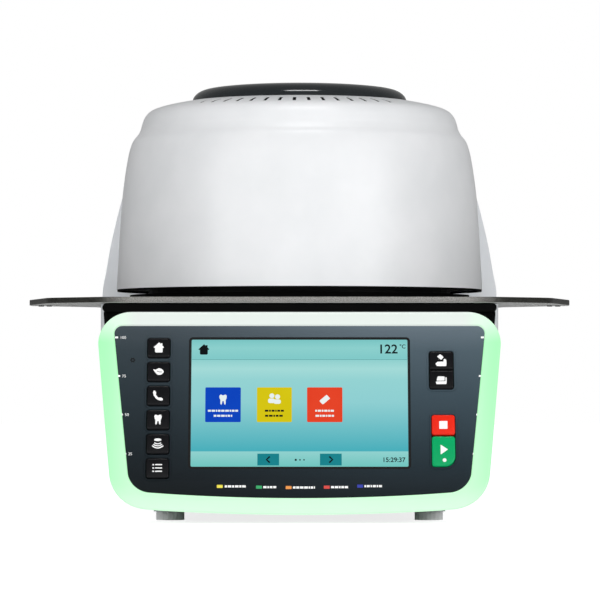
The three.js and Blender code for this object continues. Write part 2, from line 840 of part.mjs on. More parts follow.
// Floor of the head, with the mouth of the firing chamber
const chamberRadius = 46;
const floorAboveRim = 1;
const floorPlate = {
  low: floorPlateLow,
  flangeLow: hood.rimLow + floorAboveRim,
  flangeThickness: 3,
  fit: 0.4,
};
const floorTop = floorPlate.flangeLow + floorPlate.flangeThickness;
const floorProfile = [
  [chamberRadius, floorPlate.low],
  [drumRadius, floorPlate.low],
  [drumRadius, floorPlate.flangeLow],
  [hood.rimRadius - wall - floorPlate.fit, floorPlate.flangeLow],
  [hood.rimRadius - wall - floorPlate.fit, floorTop],
  [chamberRadius, floorTop],
];
const headFloor = turned(floorProfile, hoodSegments).intersect(
  inFrontOfSeam(headSeam + wall + floorPlate.fit, floorPlate.low - overrun, floorTop + overrun),
);
place("head_base_plate", headFloor, "darkPlastic");

// Firing chamber: quartz muffle, heating coil, insulation, can and thermocouple
const insideLow = floorTop + seat;
const muffleWall = 3;
const chamberHeight = 77.2;
const muffleTop = insideLow + chamberHeight;
const coil = { wireRadius: 1.2, turns: 6, stepsPerTurn: 24, sides: 6, clearance: 0.4 };
const muffleOuter = chamberRadius + muffleWall;
const coilRadius = muffleOuter + coil.clearance + coil.wireRadius;
const insulationInner = coilRadius + coil.wireRadius + coil.clearance;
const insulationToSeam = 7.8;
const insulationOuter = seamY(headSeam + wall, insideLow) - insulationToSeam;
const lidThickness = 38;
const canWall = 1.5;
place("quartz_muffle", tube(chamberRadius, muffleOuter, insideLow, muffleTop, boreSegments), "quartz");
place("insulation_ring", tube(insulationInner, insulationOuter, insideLow, muffleTop, boreSegments), "fibre");

const probe = { radius: 2.5, reach: 16, collarRadius: 8, collarHeight: 7, bore: 3 };
const lidLow = muffleTop + seat;
const lidTop = lidLow + lidThickness;
place("insulation_lid", tube(probe.bore, insulationOuter, lidLow, lidTop, boreSegments), "fibre");
const canTop = lidTop + seat + canWall;
const canProfile = [
  [probe.bore, canTop - canWall],
  [insulationOuter + seat, canTop - canWall],
  [insulationOuter + seat, insideLow],
  [insulationOuter + seat + canWall, insideLow],
  [insulationOuter + seat + canWall, canTop],
  [probe.bore, canTop],
];
place("insulation_can", turned(canProfile, boreSegments), "zincPlate");
const probeProfile = [
  [0, muffleTop - probe.reach],
  [probe.radius, muffleTop - probe.reach],
  [probe.radius, canTop + seat],
  [probe.collarRadius, canTop + seat],
  [probe.collarRadius, canTop + seat + probe.collarHeight],
  [0, canTop + seat + probe.collarHeight],
];
place("thermocouple", turned(probeProfile, footSegments), "steel");

// One unbroken helix of heating wire; each end turns upright and runs straight to the floor or lid
function coilGeometry() {
  const endRun = 3 * coil.wireRadius;
  const helixLow = insideLow + endRun;
  const helixHigh = muffleTop - endRun;
  const steps = coil.turns * coil.stepsPerTurn;
  const upward = new THREE.Vector3(0, 0, 1);
  const stations = [];
  for (let k = 0; k <= steps; k++) {
    const angle = (2 * Math.PI * k) / coil.stepsPerTurn;
    const outward = new THREE.Vector3(Math.cos(angle), Math.sin(angle), 0);
    const along = new THREE.Vector3().crossVectors(upward, outward);
    const centre = outward.clone().multiplyScalar(coilRadius);
    centre.z = helixLow + ((helixHigh - helixLow) * k) / steps;
    const sideways = along.clone().negate();
    const atEnd = k === 0 || k === steps;
    const lift = atEnd ? upward.clone().add(sideways) : upward;
    const bend = { centre, outward, lift };
    const end = { centre: centre.clone().setZ(k ? muffleTop : insideLow), outward, lift: sideways };
    if (k === 0) stations.push(end);
    stations.push(bend);
    if (k === steps) stations.push(end);
  }
  const vertices = [];
  for (const { centre, outward, lift } of stations) {
    for (let s = 0; s < coil.sides; s++) {
      const angle = (2 * Math.PI * s) / coil.sides;
      const corner = centre.clone().addScaledVector(outward, coil.wireRadius * Math.cos(angle));
      corner.addScaledVector(lift, coil.wireRadius * Math.sin(angle));
      vertices.push(...corner);
    }
  }
  const faces = [];
  const last = stations.length - 1;
  const cornerOf = (k, s) => k * coil.sides + (s % coil.sides);
  for (let k = 0; k < last; k++) {
    for (let s = 0; s < coil.sides; s++) {
      faces.push(cornerOf(k, s), cornerOf(k + 1, s), cornerOf(k + 1, s + 1));
      faces.push(cornerOf(k, s), cornerOf(k + 1, s + 1), cornerOf(k, s + 1));
    }
  }
  for (let s = 1; s < coil.sides - 1; s++) {
    faces.push(cornerOf(0, 0), cornerOf(0, s), cornerOf(0, s + 1));
    faces.push(cornerOf(last, 0), cornerOf(last, s + 1), cornerOf(last, s));
  }
  const geometry = new THREE.BufferGeometry();
  geometry.setAttribute("position", new THREE.Float32BufferAttribute(vertices, 3));
  geometry.setIndex(faces);
  console.log(`heating coil: least gap to itself ${leastSelfGap(stations).toFixed(2)} mm`);
  return geometry;
}

// The least distance between wire stations at least half a turn apart, less the wire's thickness
function leastSelfGap(stations) {
  let least = Infinity;
  stations.forEach((one, i) => {
    for (const other of stations.slice(i + coil.stepsPerTurn / 2)) {
      least = Math.min(least, one.centre.distanceTo(other.centre));
    }
  });
  return least - 2 * coil.wireRadius;
}
place("heating_coil", toSolid(coilGeometry()), "heatingWire");

// Carrier of the head: two uprights on its floor, two arms and the hinge shaft
const upright = { depth: 19.3, fit: 0.5 };
const uprightFront = seamY(headSeam + wall + upright.fit, insideLow) - upright.depth;
const shaftSegments = 24;

function carrierSide(side) {
  const plate = [
    [uprightFront, insideLow],
    [seamY(headSeam + wall + upright.fit, insideLow), insideLow],
    [seamY(headSeam + wall + upright.fit, arm.high), arm.high],
    [uprightFront, arm.high],
  ];
  const bar = [
    [uprightFront, arm.low],
    [hingeY, arm.low],
    [hingeY, arm.high],
    [uprightFront, arm.high],
  ];
  const low = side * arm.x - arm.halfWidth;
  const high = side * arm.x + arm.halfWidth;
  return joined(
    prism("x", plate, low, high),
    prism("x", bar, low, high),
    rod("x", arm.bossRadius, low, high, shaftSegments, hingeY, hingeZ),
  );
}


// Gears that lift the head
const gear = {
  module: 2,
  quadrantTeeth: 44,
  pinionTeeth: 12,
  besideArm: 2,
  width: 8,
  meshDegrees: -60,
  halfToothShare: 0.36,
  pressureDegrees: 20,
  addendumShare: 0.8,
  dedendumShare: 1.2,
  hubRadius: 14,
};
const gearLow = arm.x + arm.halfWidth + gear.besideArm;
const gearHigh = gearLow + gear.width;
const quadrantPitch = (gear.module * gear.quadrantTeeth) / 2;
const pinionPitch = (gear.module * gear.pinionTeeth) / 2;
const meshAngle = THREE.MathUtils.degToRad(gear.meshDegrees);
const pinionY = hingeY + (quadrantPitch + pinionPitch) * Math.cos(meshAngle);
const pinionZ = hingeZ + (quadrantPitch + pinionPitch) * Math.sin(meshAngle);
const halfTooth = (gear.module * Math.PI * gear.halfToothShare) / 2;
const toothRise = gear.module * gear.addendumShare;
const toothFall = gear.module * gear.dedendumShare;

// A round gear outline about its own centre, with straight-flanked teeth from one angle to another
function toothPoints(pitchRadius, centreAngle) {
  const slope = Math.tan(THREE.MathUtils.degToRad(gear.pressureDegrees));
  const at = (radius, half) => {
    const angle = centreAngle + half / radius;
    return [radius * Math.cos(angle), radius * Math.sin(angle)];
  };
  const root = pitchRadius - toothFall;
  const tip = pitchRadius + toothRise;
  const rootHalf = halfTooth + toothFall * slope;
  const tipHalf = halfTooth - toothRise * slope;
  return [at(root, -rootHalf), at(tip, -tipHalf), at(tip, tipHalf), at(root, rootHalf)];
}

function shifted(points, acrossBy, upBy) {
  return points.map(([x, y]) => [x + acrossBy, y + upBy]);
}

const quadrantStep = (2 * Math.PI) / gear.quadrantTeeth;
const quadrantTeethBelow = 1;
const quadrantTeethAbove = 7;
const quadrantOutline = [[0, 0]];
for (let k = -quadrantTeethBelow; k <= quadrantTeethAbove; k++) {
  quadrantOutline.push(...toothPoints(quadrantPitch, meshAngle + k * quadrantStep));
}
const quadrantHub = rod("x", gear.hubRadius, gearLow, gearHigh, shaftSegments, hingeY, hingeZ);
const quadrant = cut(
  joined(quadrantHub, prism("x", shifted(quadrantOutline, hingeY, hingeZ), gearLow, gearHigh)),
  rod("x", shaftRadius + seat, gearLow - overrun, gearHigh + overrun, shaftSegments, hingeY, hingeZ),
);
place("gear_quadrant", quadrant, "steel");

const axleRadius = 4;
const axleFit = 0.35;
const bracket = {
  besideGear: 2,
  thickness: 6,
  bossRadius: 18,
  footWidth: 20,
  behindHinge: 47,
  shoulderDrop: 36,
};
const bracketLow = gearHigh + bracket.besideGear;
const bracketHigh = bracketLow + bracket.thickness;
const bracketFront = hingeY - bracket.bossRadius;
const bracketBack = hingeY + bracket.behindHinge;
const shaft = rod("x", shaftRadius, -bracketHigh, bracketHigh, shaftSegments, hingeY, hingeZ);
place("head_carrier", joined(shaft, ...both.map(carrierSide)), "steel");

const axlePastBracket = 8;
const axleEnd = bracketHigh + axlePastBracket;
const pinionStep = (2 * Math.PI) / gear.pinionTeeth;
const pinionOutline = [];
for (let k = 0; k < gear.pinionTeeth; k++) {
  pinionOutline.push(...toothPoints(pinionPitch, meshAngle + Math.PI + (k + 1 / 2) * pinionStep));
}
const pinion = joined(
  prism("x", shifted(pinionOutline, pinionY, pinionZ), gearLow, gearHigh),
  rod("x", axleRadius, gearLow, axleEnd, shaftSegments, pinionY, pinionZ),
);
place("motor_pinion", pinion, "steel");

const bushFit = 0.35;

function hingeBracket(side) {
  const plate = [
    [bracketFront, baseLow],
    [bracketBack, baseLow],
    [bracketBack, hingeZ - bracket.shoulderDrop],
    [hingeY + bracket.bossRadius, hingeZ],
    [bracketFront, hingeZ],
  ];
  const low = side > 0 ? bracketLow : -bracketHigh;
  const high = side > 0 ? bracketHigh : -bracketLow;
  const footLow = side > 0 ? bracketHigh - overrun : -bracketHigh - bracket.footWidth;
  const footHigh = side > 0 ? bracketHigh + bracket.footWidth : -bracketHigh + overrun;
  return cut(
    joined(
      prism("x", plate, low, high),
      rod("x", bracket.bossRadius, low, high, shaftSegments, hingeY, hingeZ),
      box(footLow, footHigh, bracketFront, bracketBack, baseLow, baseLow + sheet),
    ),
    rod("x", shaftRadius + bushFit, low - overrun, high + overrun, shaftSegments, hingeY, hingeZ),
    rod("x", axleRadius + axleFit, low - overrun, high + overrun, shaftSegments, pinionY, pinionZ),
  );
}
place("hinge_bracket_left", hingeBracket(-1), "zincPlate");
place("hinge_bracket_right", hingeBracket(1), "zincPlate");

const motor = { radius: 18, fromSide: 26.7, frontThickness: 9, gearboxRadius: 15 };
const motorLow = bracketHigh + seat;
const motorHigh = baseRearHalf - motor.fromSide;
const motorBodyLow = motorLow + motor.frontThickness;
const gearMotor = cut(
  joined(
    rod("x", motor.gearboxRadius, motorLow, motorHigh, shaftSegments, pinionY, pinionZ),
    rod("x", motor.radius, motorBodyLow, motorHigh, shaftSegments, pinionY, pinionZ),
  ),
  rod("x", axleRadius + axleFit, motorLow - overrun, axleEnd + seat, shaftSegments, pinionY, pinionZ),
);
place("gear_motor", gearMotor, "zincPlate");

// Rear column: its front view and its side view cut each other out
const columnPastBase = 0.4;
const column = {
  low: trayLow,
  top: hingeZ + crownRadius,
  footHalf: baseRearHalf + columnPastBase,
  rearTopRadius: 26,
};
const columnHeight = column.top - column.low;
// half width and height, as shares of the foot's half width and the column's height
const columnShares = [
  [1, 0],
  [0.998, 0.117],
  [0.982, 0.23],
  [0.962, 0.38],
  [0.936, 0.53],
  [0.906, 0.68],
  [0.882, 0.775],
  [0.845, 0.857],
  [0.783, 0.932],
  [0.69, 0.985],
  [0.58, 1],
];

function columnFront(inset) {
  const right = columnShares.map(([halfShare, heightShare]) => [
    halfShare * column.footHalf - inset,
    column.low + heightShare * (columnHeight - inset),
  ]);
  const left = right.map(([x, z]) => [-x, z]).reverse();
  const below = column.low - inset;
  const foot = column.footHalf - inset;
  return [[-foot, below], [foot, below], ...right.slice(1), ...left.slice(0, -1)];
}

function columnSide(inset) {
  const radius = crownRadius - inset;
  const below = column.low - inset;
  const crown = [];
  for (let k = 0; k <= roundSteps; k++) {
    const angle = Math.PI - seamLean - ((Math.PI / 2 - seamLean) * k) / roundSteps;
    crown.push([hingeY + radius * Math.cos(angle), hingeZ + radius * Math.sin(angle)]);
  }
  return rounded([
    [seamY(radius, below), below],
    ...crown,
    [rearY - inset, hingeZ + radius, column.rearTopRadius - inset],
    [rearY - inset, below],
  ]);
}

function columnSolid(inset) {
  return prism("y", columnFront(inset), 0, rearY + overrun).intersect(
    prism("x", columnSide(inset), -baseRearHalf - overrun, baseRearHalf + overrun),
  );
}

const armSlot = { halfWidth: 7.5, belowHinge: 14 };
const armSlots = both.map((side) =>
  box(
    side * arm.x - armSlot.halfWidth,
    side * arm.x + armSlot.halfWidth,
    0,
    hingeY,
    hingeZ - armSlot.belowHinge,
    column.top + overrun,
  ),
);
place("rear_column", cut(columnSolid(0), columnSolid(wall), ...armSlots), "shell");

// Rear panel and its fittings; nothing stands out past the rear wall
const rearPanelLap = 5;
const rearPanelThickness = 2;
const rearPanelBack = rearY - wall - seat;
const rearPanelFront = rearPanelBack - rearPanelThickness;
const fittingFront = rearPanelBack + seat; // flanges lie on the panel, inside the window
const fittingBack = rearY - seat;
const flangeRadius = 1.5;
// Where each fitting sits in the window: share of its half width, share of its height
const fittingShares = {
  mains: [0.618, 0.17],
  rocker: [0.618, 0.475],
  pump: [0.618, 0.763],
  fuse: [0.255, 0.17],
  usb: [0.2, 0.475],
  lan: [-0.018, 0.475],
  vacuum: [0.218, 0.763],
  fan: [-0.564, 0.525],
};
const fittingSizes = {
  mains: { halfWidth: 13.5, halfHeight: 10, flangeHalfWidth: 24, flangeHalfHeight: 13, depth: 24 },
  rocker: { halfWidth: 8, halfHeight: 12.5, flangeHalfWidth: 10.5, flangeHalfHeight: 15, depth: 16 },
  pump: { halfWidth: 15, halfHeight: 11.5, flangeHalfWidth: 18, flangeHalfHeight: 14.5, depth: 24 },
  fuse: { bodyRadius: 6, capRadius: 8, depth: 28 },
  usb: { halfWidth: 6.6, halfHeight: 3, flangeHalfWidth: 9, flangeHalfHeight: 5.5, depth: 18 },
  lan: { halfWidth: 8, halfHeight: 6.8, flangeHalfWidth: 10, flangeHalfHeight: 9, depth: 20 },
  vacuum: { bodyRadius: 5, flangeRadius: 9, flangeThickness: 1.2, bore: 1.8, depth: 26 },
  fan: { half: 32, depth: 15, bore: 28, hubRadius: 11, strutWidth: 4, strutDepth: 2.5, cornerRadius: 3 },
};

function fitting(name) {
  const [acrossShare, upShare] = fittingShares[name];
  const z = rearWindow.low + upShare * (rearWindow.high - rearWindow.low);
  return { x: acrossShare * rearWindow.half, z, ...fittingSizes[name] };
}
const mains = fitting("mains");
const mainsCavity = { halfWidth: 11.5, halfHeight: 8, depth: 16 };
const pump = fitting("pump");
const pumpCavity = { halfWidth: 12.5, halfHeight: 8.5, depth: 16 };
const lanPort = fitting("lan");
const lanCavity = { halfWidth: 5.9, halfHeight: 4, depth: 13 };
const usbPort = fitting("usb");
const usbCavity = { halfWidth: 5.8, halfHeight: 1.6, depth: 11 };
const rocker = fitting("rocker");
const rockerCavity = { halfWidth: 6.5, halfHeight: 10.6, depth: 12.5 };
const fuse = fitting("fuse");
const vacuum = fitting("vacuum");
const fan = fitting("fan");
const fanSlots = { count: 6, height: 4, pitch: 8 };

function fittingBody(fit) {
  const { x, z } = fit;
  return joined(
    prism(
      "y",
      rectangle(x - fit.halfWidth, x + fit.halfWidth, z - fit.halfHeight, z + fit.halfHeight),
      rearPanelBack - fit.depth,
      fittingFront + seat,
    ),
    prism(
      "y",
      rectangle(
        x - fit.flangeHalfWidth,
        x + fit.flangeHalfWidth,
        z - fit.flangeHalfHeight,
        z + fit.flangeHalfHeight,
        flangeRadius,
      ),
      fittingFront,
      fittingBack,
    ),
  );
}

function cavity(fit, hollow) {
  const outline = rectangle(
    fit.x - hollow.halfWidth,
    fit.x + hollow.halfWidth,
    fit.z - hollow.halfHeight,
    fit.z + hollow.halfHeight,
  );
  return prism("y", outline, fittingBack - hollow.depth, fittingBack + overrun);
}

function panelHole(fit) {
  return rectangle(
    fit.x - fit.halfWidth - seat,
    fit.x + fit.halfWidth + seat,
    fit.z - fit.halfHeight - seat,
    fit.z + fit.halfHeight + seat,
  );
}

const grille = Array.from({ length: fanSlots.count }, (_, k) => {
  const up = (k - (fanSlots.count - 1) / 2) * fanSlots.pitch;
  const reach = Math.abs(up) + fanSlots.height / 2;
  const half = Math.sqrt(fan.bore ** 2 - reach ** 2);
  const z = fan.z + up;
  return rectangle(fan.x - half, fan.x + half, z - fanSlots.height / 2, z + fanSlots.height / 2);
});
const rearHoles = [mains, pump, lanPort, usbPort, rocker].map(panelHole);
const smallSegments = 16;
rearHoles.push(circle(fuse.bodyRadius + seat, smallSegments, fuse.x, fuse.z));
rearHoles.push(circle(vacuum.bodyRadius + seat, smallSegments, vacuum.x, vacuum.z));
const rearPlateOutline = rectangle(
  -rearWindow.half - rearPanelLap,
  rearWindow.half + rearPanelLap,
  rearWindow.low - rearPanelLap,
  rearWindow.high + rearPanelLap,
);
const rearPlate = prism("y", rearPlateOutline, rearPanelFront, rearPanelBack, [...rearHoles, ...grille]);
place("rear_panel", rearPlate, "zincPlate");

const inletPin = { halfWidth: 0.9, halfHeight: 2, pitch: 7, raise: 2.5, length: 12 };
const inletPins = [
  [-inletPin.pitch, -inletPin.raise],
  [0, inletPin.raise],
  [inletPin.pitch, -inletPin.raise],
].map(([across, up]) => {
  const cavityFloor = fittingBack - mainsCavity.depth;
  return box(
    mains.x + across - inletPin.halfWidth,
    mains.x + across + inletPin.halfWidth,
    cavityFloor - overrun,
    cavityFloor + inletPin.length,
    mains.z + up - inletPin.halfHeight,
    mains.z + up + inletPin.halfHeight,
  );
});
const mainsBody = cut(fittingBody(mains), cavity(mains, mainsCavity));
place("mains_inlet", joined(mainsBody, ...inletPins), "darkPlastic");
place("pump_socket", cut(fittingBody(pump), cavity(pump, pumpCavity)), "darkPlastic");
place("network_port", cut(fittingBody(lanPort), cavity(lanPort, lanCavity)), "steel");
place("usb_port", cut(fittingBody(usbPort), cavity(usbPort, usbCavity)), "steel");
place("switch_frame", cut(fittingBody(rocker), cavity(rocker, rockerCavity)), "darkPlastic");

// The rocker at rest is pressed in at its lower end
const rockerPivotDepth = 6.7;
const rockerPivotY = fittingBack - rockerPivotDepth;
const rockerRest = THREE.MathUtils.degToRad(10);
const rockerShape = { back: -3, backHalf: 6.4, rim: 2.4, end: 4.4, endHalf: 9.4, middle: 3.2 };

function rockerOutline() {
  const points = [
    [rockerShape.back, -rockerShape.backHalf],
    [rockerShape.rim, -rockerShape.endHalf],
    [rockerShape.end, -rockerShape.endHalf],
    [rockerShape.middle, 0],
    [rockerShape.end, rockerShape.endHalf],
    [rockerShape.rim, rockerShape.endHalf],
    [rockerShape.back, rockerShape.backHalf],
  ];
  const c = Math.cos(rockerRest);
  const s = Math.sin(rockerRest);
  return points.map(([y, z]) => [rockerPivotY + y * c + z * s, rocker.z - y * s + z * c]);
}
const rockerHalf = rockerCavity.halfWidth - seat;
place("power_switch", prism("x", rockerOutline(), rocker.x - rockerHalf, rocker.x + rockerHalf), "redKey");

const fuseHolder = joined(
  rod("y", fuse.bodyRadius, rearPanelBack - fuse.depth, fittingFront + seat, smallSegments, fuse.x, fuse.z),
  rod("y", fuse.capRadius, fittingFront, fittingBack, smallSegments, fuse.x, fuse.z),
);
place("fuse_holder", fuseHolder, "darkPlastic");
const vacuumFitting = cut(
  joined(
    rod("y", vacuum.bodyRadius, rearPanelBack - vacuum.depth, fittingBack, smallSegments, vacuum.x, vacuum.z),
    rod(
      "y",
      vacuum.flangeRadius,
      fittingFront,
      fittingFront + vacuum.flangeThickness,
      smallSegments,
      vacuum.x,
      vacuum.z,
    ),
  ),
  rod(
    "y",
    vacuum.bore,
    rearPanelBack - vacuum.depth - overrun,
    fittingBack + overrun,
    smallSegments,
    vacuum.x,
    vacuum.z,
  ),
);
place("vacuum_fitting", vacuumFitting, "steel");

// Fan behind the grille
const fanBack = rearPanelFront - seat;
const fanFront = fanBack - fan.depth;
const fanAxle = { radius: 2, fit: 0.3 };
const fanOutline = rectangle(
  fan.x - fan.half,
  fan.x + fan.half,
  fan.z - fan.half,
  fan.z + fan.half,
  fan.cornerRadius,
);
const fanFrame = prism("y", fanOutline, fanFront, fanBack, [circle(fan.bore, boreSegments, fan.x, fan.z)]);
const struts = [
  rod("y", fan.hubRadius, fanFront, fanFront + fan.strutDepth, smallSegments, fan.x, fan.z),
  box(
    fan.x - fan.bore - seat,
    fan.x + fan.bore + seat,
    fanFront,
    fanFront + fan.strutDepth,
    fan.z - fan.strutWidth / 2,
    fan.z + fan.strutWidth / 2,
  ),
  box(
    fan.x - fan.strutWidth / 2,
    fan.x + fan.strutWidth / 2,
    fanFront,
    fanFront + fan.strutDepth,
    fan.z - fan.bore - seat,
    fan.z + fan.bore + seat,
  ),
];
const fanAxleBore = rod(
  "y",
  fanAxle.radius + fanAxle.fit,
  fanFront - overrun,
  fanFront + fan.strutDepth + overrun,
  smallSegments,
  fan.x,
  fan.z,
);
place("fan_frame", cut(joined(fanFrame, ...struts), fanAxleBore), "darkPlastic");

const blades = { count: 7, tipGap: 1.5, thickness: 1.5, chord: 9, pitchDegrees: 35 };
const bladeTip = fan.bore - blades.tipGap;
const rotorGap = { front: 0.6, back: 1.5 };
const rotorFront = fanFront + fan.strutDepth + rotorGap.front;
const rotorBack = fanBack - rotorGap.back;
const rotorPieces = [
  rod("y", fan.hubRadius, rotorFront, rotorBack, smallSegments, fan.x, fan.z),
  rod("y", fanAxle.radius, fanFront, rotorFront + overrun, smallSegments, fan.x, fan.z),
];
for (let k = 0; k < blades.count; k++) {
  const rootRadius = fan.hubRadius - overrun;
  const blade = new THREE.BoxGeometry(bladeTip - rootRadius, blades.chord, blades.thickness);
  blade.rotateX(THREE.MathUtils.degToRad(blades.pitchDegrees));
  blade.translate((bladeTip + rootRadius) / 2, 0, 0);
  blade.rotateY((2 * Math.PI * k) / blades.count);
  blade.translate(fan.x, (rotorFront + rotorBack) / 2, fan.z);
  rotorPieces.push(toSolid(blade));
}
place("fan_rotor", joined(...rotorPieces), "darkPlastic");

// Power supply on the bottom plate
const supply = { halfWidth: 60, depth: 90, height: 58, beforeBrackets: 34 };
const supplyBack = bracketFront - supply.beforeBrackets;
const powerSupply = box(
  -supply.halfWidth,
  supply.halfWidth,
  supplyBack - supply.depth,
  supplyBack,
  baseLow,
  baseLow + supply.height,
);
place("power_supply", powerSupply, "zincPlate");

export default furnace;
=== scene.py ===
from math import atan, cos, pi, radians, sin, tan

import bmesh
import bpy
from mathutils import Euler, Matrix, Vector


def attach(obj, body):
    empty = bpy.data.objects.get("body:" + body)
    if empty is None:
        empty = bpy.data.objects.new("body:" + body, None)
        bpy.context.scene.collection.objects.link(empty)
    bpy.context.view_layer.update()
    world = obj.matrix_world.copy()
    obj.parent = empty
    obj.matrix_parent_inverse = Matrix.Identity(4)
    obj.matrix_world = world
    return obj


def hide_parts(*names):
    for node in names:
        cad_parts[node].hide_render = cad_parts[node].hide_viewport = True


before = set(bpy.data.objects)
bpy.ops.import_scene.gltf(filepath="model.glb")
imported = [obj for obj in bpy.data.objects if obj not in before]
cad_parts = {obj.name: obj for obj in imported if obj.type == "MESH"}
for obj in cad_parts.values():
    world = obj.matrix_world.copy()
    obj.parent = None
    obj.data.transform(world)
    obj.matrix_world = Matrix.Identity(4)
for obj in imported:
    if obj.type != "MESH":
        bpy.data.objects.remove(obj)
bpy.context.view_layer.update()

mm = 0.001
for startup in ("Cube", "Light", "Camera"):
    if startup in bpy.data.objects:
        bpy.data.objects.remove(bpy.data.objects[startup])
print("frame loaded:", len(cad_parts), "nodes")


# Materials

def colour(hexCode):
    shares = [int(hexCode[i:i + 2], 16) / 255 for i in (1, 3, 5)]
    linear = [c / 12.92 if c <= 0.04045 else ((c + 0.055) / 1.055) ** 2.4 for c in shares]
    return (*linear, 1.0)


def addNode(tree, kind, inputs=None, stops=(), **settings):
    # an input is a value, a socket to link from, or a node whose first output is linked, and
    # stops are the positions and colours of a ramp
    node = tree.nodes.new(kind)
    for key, value in settings.items():
        setattr(node, key, value)
    for socket, value in (inputs or {}).items():
        if isinstance(value, bpy.types.Node):
            value = value.outputs[0]
        if isinstance(value, bpy.types.NodeSocket):
            tree.links.new(value, node.inputs[socket])
        else:
            node.inputs[socket].default_value = value
    if stops:
        elements = node.color_ramp.elements
        while len(elements) < len(stops):
            elements.new(0.5)
        for element, (position, hexCode) in zip(elements, stops):
            element.position = position
            element.color = colour(hexCode)
    return node


def startMaterial(name, hexCode, roughness, metallic=0.0, specular=0.5):
    material = bpy.data.materials.new(name)
    material.use_nodes = True
    tree = material.node_tree
    shader = tree.nodes["Principled BSDF"]
    shader.inputs["Base Color"].default_value = colour(hexCode)
    shader.inputs["Roughness"].default_value = roughness
    shader.inputs["Metallic"].default_value = metallic
    shader.inputs["Specular IOR Level"].default_value = specular
    place = addNode(tree, "ShaderNodeTexCoord").outputs["Object"]
    return material, tree, shader, place


def mottle(tree, place, grainMm, lowHex, highHex, spread=0.25):
    # a soft colour change with blotches about grainMm across
    noise = addNode(tree, "ShaderNodeTexNoise",
                    {"Vector": place, "Scale": 1 / (grainMm * mm), "Detail": 3.0})
    tone = addNode(tree, "ShaderNodeValToRGB", {"Fac": noise},
                   [(0.5 - spread, lowHex), (0.5 + spread, highHex)])
    return tone.outputs["Color"], noise


def grainBump(tree, shader, place, grainMm, heightMm):
    noise = addNode(tree, "ShaderNodeTexNoise",
                    {"Vector": place, "Scale": 1 / (grainMm * mm), "Detail": 2.0})
    bump = addNode(tree, "ShaderNodeBump", {"Height": noise, "Distance": heightMm * mm})
    tree.links.new(bump.outputs["Normal"], shader.inputs["Normal"])
    return noise


def varyRoughness(tree, shader, factor, low, high):
    spread = addNode(tree, "ShaderNodeMapRange", {"Value": factor, "To Min": low, "To Max": high})
    tree.links.new(spread.outputs["Result"], shader.inputs["Roughness"])


plasticBlotchMm, plasticSpread, metalSpread = 45, 0.05, 0.08


def mouldedPlastic(name, lowHex, highHex, roughness, grainMm, heightMm, specular=0.5):
    # injection-moulded plastic: nearly even colour, a fine spark-eroded grain and a satin sheen
    material, tree, shader, place = startMaterial(name, highHex, roughness, specular=specular)
    tone = mottle(tree, place, plasticBlotchMm, lowHex, highHex)[0]
    tree.links.new(tone, shader.inputs["Base Color"])
    grain = grainBump(tree, shader, place, grainMm, heightMm)
    varyRoughness(tree, shader, grain, roughness - plasticSpread, roughness + plasticSpread)
    return material


def workedMetal(name, lowHex, highHex, roughness, grainMm, heightMm, stretch=(1, 1, 1)):
    # rolled, ground or plated metal: streaks along one axis where stretch says so
    material, tree, shader, place = startMaterial(name, highHex, roughness, metallic=1.0)
    mapped = addNode(tree, "ShaderNodeMapping", {"Vector": place, "Scale": stretch})
    tone, blotches = mottle(tree, mapped, grainMm, lowHex, highHex, 0.3)
    tree.links.new(tone, shader.inputs["Base Color"])
    grainBump(tree, shader, mapped, grainMm / 2, heightMm)
    varyRoughness(tree, shader, blotches, roughness - metalSpread, roughness + metalSpread)
    return material


# Mesh building: everything is drawn in millimetres and placed by a matrix in metres

toMetres = Matrix.Scale(mm, 4)
panelLean = radians(18)
panelFootY, panelFootZ = -0.215, 0.007
panelPlace = (
    Matrix.Translation((0, panelFootY, panelFootZ))
    @ Euler((pi / 2 - panelLean, 0, 0)).to_matrix().to_4x4() @ toMetres
)
weldMm = 0.002
beyond = 300  # further to the side than any piece reaches


def addObject(name, data):
    added = bpy.data.objects.new(name, data)
    bpy.context.scene.collection.objects.link(added)
    return added


def removeObject(source):
    bpy.data.objects.remove(source, do_unlink=True)


def meshOf(source):
    # the finished mesh of an object with live modifiers, or of a curve
    scratch = bpy.context.evaluated_depsgraph_get()
    return bpy.data.meshes.new_from_object(source.evaluated_get(scratch))


def meshFrom(name, work):
    mesh = bpy.data.meshes.new(name)
    work.to_mesh(mesh)
    work.free()
    return mesh


def drawnMesh(name, drawing, shift):
    # the mesh of a curve or of writing, moved by shift
    source = addObject(name, drawing)
    mesh = meshOf(source)
    removeObject(source)
    mesh.transform(Matrix.Translation(shift))
    return mesh


def cleanMesh(mesh):
    work = bmesh.new()
    work.from_mesh(mesh)
    bmesh.ops.remove_doubles(work, verts=work.verts, dist=weldMm * mm)
    bmesh.ops.dissolve_degenerate(work, edges=work.edges, dist=weldMm * mm)
    bmesh.ops.recalc_face_normals(work, faces=work.faces)
    work.to_mesh(mesh)
    work.free()


def smoothFaces(mesh, angle=35):
    mesh.polygons.foreach_set("use_smooth", [True] * len(mesh.polygons))
    mesh.set_sharp_from_angle(angle=radians(angle))
    mesh.update()


def finishMesh(name, mesh, material, place=toMetres, smoothAngle=35):
    mesh.name = name
    mesh.transform(place)
    piece = addObject(name, mesh)
    if material:
        mesh.materials.clear()
        mesh.materials.append(material)
    cleanMesh(mesh)
    smoothFaces(mesh, smoothAngle)
    return piece


def ride(piece, body, slotName, *nodes):
    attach(piece, body)
    if nodes:
        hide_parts(*nodes)
    return piece


# Outlines

def rectangle(left, right, low, high):
    return [(left, low), (right, low), (right, high), (left, high)]


def centred(across, up, wide, tall):
    # left, right, low and high of a box round a point
    return across - wide / 2, across + wide / 2, up - tall / 2, up + tall / 2


